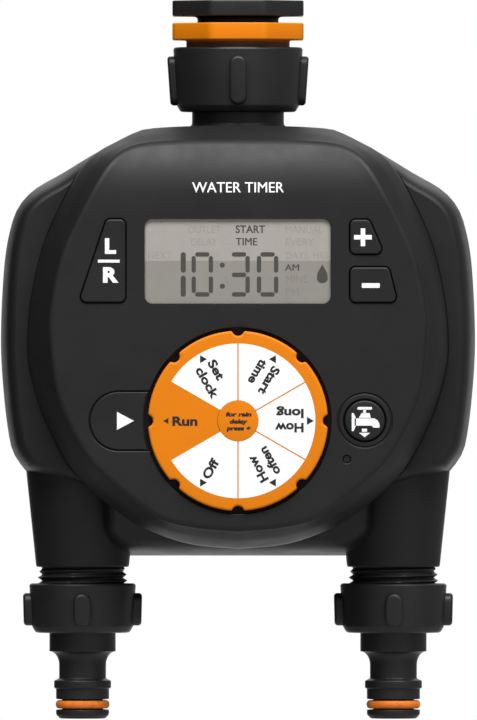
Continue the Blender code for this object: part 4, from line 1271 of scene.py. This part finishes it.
SHOWN_NODES = {
    "adapter_washer": (SEAL, "seal_rubber"), "tap_washer": (SEAL, "seal_rubber"),
    "left_connector_washer": (SEAL, "seal_rubber"), "right_connector_washer": (SEAL, "seal_rubber"),
    "cover_gasket": (SEAL, "seal_rubber"), "door_seal": (SEAL, "seal_rubber"),
    "keypad_membrane": (SEAL, "seal_rubber"), "left_diaphragm": (SEAL, "seal_rubber"),
    "right_diaphragm": (SEAL, "seal_rubber"), "status_light": (LENS, "light_lens"),
    "battery_left": (SLEEVE, "cell_wrap"), "battery_right": (SLEEVE, "cell_wrap"),
    "battery_tray": (INNER, "inner_grey"),
    "rotary_switch": (INNER, "inner_grey"), "manual_switch": (INNER, "inner_grey"),
    "inlet_strainer": (INNER, "inner_grey"), "water_manifold": (INNER, "inner_grey"),
    "left_valve_bonnet": (INNER, "inner_grey"), "right_valve_bonnet": (INNER, "inner_grey"),
    "circuit_board": (GREEN, "board_green"), "left_solenoid_coil": (COPPER, "coil_copper"),
    "right_solenoid_coil": (COPPER, "coil_copper"), "left_valve_lead": (JACKET, "wire_jacket"),
    "right_valve_lead": (JACKET, "wire_jacket"), "left_plunger": (STEEL, "steel"),
    "right_plunger": (STEEL, "steel"), "lower_contact": (STEEL, "steel"),
    "upper_contact": (STEEL, "steel"), "swivel_ring": (STEEL, "steel"), "dial_spindle": (STEEL, "steel"),
    "door_hinge_pin": (STEEL, "steel"), "case_screw_1": (STEEL, "steel"), "case_screw_2": (STEEL, "steel"),
    "case_screw_3": (STEEL, "steel"), "case_screw_4": (STEEL, "steel"),
}


def finish_nodes():
    for name, (material, _slot) in SHOWN_NODES.items():
        node = NODES[name]
        node.data.materials.clear()
        node.data.materials.append(material)
        edge = node.modifiers.new("edge", "BEVEL")
        edge.width = 0.15 * MM
        edge.segments = 2
        edge.limit_method = "ANGLE"
        edge.angle_limit = math.radians(50)


# ---------------------------------------------------------------- studio

def area_light(name, place, target, size, power, colour=(1, 1, 1)):
    light = bpy.data.lights.new(name, "AREA")
    light.shape = "RECTANGLE"
    light.size, light.size_y = size
    light.energy = power
    light.color = colour
    lamp = bpy.data.objects.new(name, light)
    lamp.location = place
    lamp.rotation_euler = (Vector(target) - Vector(place)).to_track_quat("-Z", "Y").to_euler()
    SCENE.collection.objects.link(lamp)


FLOOR_R = 500.0
FLOOR_THICK = 0.05
FLOOR_DROP = 11.0                     # clear of the connectors when they are unscrewed

# Brightness of the surroundings, by direction
FRONT_GLOW = 0.3
LEFT_GLOW = 0.05
RIGHT_GLOW = 0.34
BACK_GLOW = 1.45
BACK_AXIS = (0.0, 0.985, -0.174)      # the bright backdrop's middle lies a little below the horizon
BELOW_GLOW = 0.5
OVER_GLOW = 1.7
OVER_AXIS = (0.0, 0.8, 0.6)           # a bright patch behind and above, mirrored by the top edges


def ramp(tree, source, start, end, low, high):
    """A smooth step of one direction component."""
    step = tree.nodes.new("ShaderNodeMapRange")
    step.interpolation_type = "SMOOTHSTEP"
    step.inputs["From Min"].default_value = start
    step.inputs["From Max"].default_value = end
    step.inputs["To Min"].default_value = low
    step.inputs["To Max"].default_value = high
    tree.links.new(source, step.inputs["Value"])
    return step.outputs["Result"]


def patch(tree, direction, axis, edge, full, glow):
    """A soft round patch of light about an axis; `edge` and `full` are cosines off that axis."""
    towards = tree.nodes.new("ShaderNodeVectorMath")
    towards.operation = "DOT_PRODUCT"
    towards.inputs[1].default_value = axis
    tree.links.new(direction, towards.inputs[0])
    return ramp(tree, towards.outputs["Value"], edge, full, 0.0, glow)


def add_up(tree, first, second):
    total = tree.nodes.new("ShaderNodeMath")
    tree.links.new(first, total.inputs[0])
    tree.links.new(second, total.inputs[1])
    return total.outputs["Value"]


def build_world():
    """White to the camera; as light, dark in front and at the sides, bright behind and a little below."""
    world = bpy.data.worlds.new("studio")
    world.use_nodes = True
    tree = world.node_tree
    shown = tree.nodes["Background"]
    shown.inputs["Color"].default_value = (1, 1, 1, 1)
    lit = tree.nodes.new("ShaderNodeBackground")
    place = tree.nodes.new("ShaderNodeTexCoord")
    split = tree.nodes.new("ShaderNodeSeparateXYZ")
    tree.links.new(place.outputs["Generated"], split.inputs["Vector"])
    across = ramp(tree, split.outputs["X"], -0.7, 0.9, LEFT_GLOW, RIGHT_GLOW)
    ahead = ramp(tree, split.outputs["Y"], -0.35, -0.8, 0.0, FRONT_GLOW)
    behind = patch(tree, place.outputs["Generated"], BACK_AXIS, 0.86, 0.985, BACK_GLOW)
    over = patch(tree, place.outputs["Generated"], OVER_AXIS, 0.86, 0.97, OVER_GLOW)
    below = ramp(tree, split.outputs["Z"], -0.15, -0.85, 0.0, BELOW_GLOW)
    strength = add_up(tree, add_up(tree, across, ahead), add_up(tree, behind, below))
    strength = add_up(tree, strength, over)
    tree.links.new(strength, lit.inputs["Strength"])
    path = tree.nodes.new("ShaderNodeLightPath")
    choose = tree.nodes.new("ShaderNodeMixShader")
    tree.links.new(path.outputs["Is Camera Ray"], choose.inputs["Fac"])
    tree.links.new(lit.outputs["Background"], choose.inputs[1])
    tree.links.new(shown.outputs["Background"], choose.inputs[2])
    tree.links.new(choose.outputs["Shader"], tree.nodes["World Output"].inputs["Surface"])
    SCENE.world = world


def build_floor():
    """A plain pale floor that the camera sees, but that sends no light back to the object."""
    under = -FLOOR_DROP - FLOOR_THICK
    profile = [(0, -FLOOR_DROP), (FLOOR_R, -FLOOR_DROP, 0), (FLOOR_R, under, 0), (0, under)]
    floor = turned("floor", profile, FLOOR)
    floor.visible_diffuse = False
    floor.visible_glossy = False
    floor.visible_transmission = False
    floor.visible_shadow = False


def build_camera():
    """A long lens square to the face: the frame is 213.1 mm high, centred on the object."""
    camera = bpy.data.cameras.new("camera")
    camera.sensor_width = 36
    distance = 6.5
    frame_height = 0.2131
    camera.lens = 36 * distance / frame_height
    camera.clip_start = 0.1
    camera.clip_end = 20
    holder = bpy.data.objects.new("camera", camera)
    holder.location = (0.00015, -distance, 0.1061)
    holder.rotation_euler = (math.radians(90), 0, 0)
    SCENE.collection.objects.link(holder)
    SCENE.camera = holder


build_front_shell()
build_rear_shell()
build_buttons()
build_dial()
build_pointer()
build_title()
build_display()
build_inlet()
build_outlet("left", -1)
build_outlet("right", 1)
build_springs()
build_battery_door()
finish_nodes()
build_floor()
build_world()
build_camera()
area_light("key", (0.1, -1.05, 1.8), (0, 0, 0.12), (2.4, 0.8), 75)
SCENE.view_settings.view_transform = "Standard"
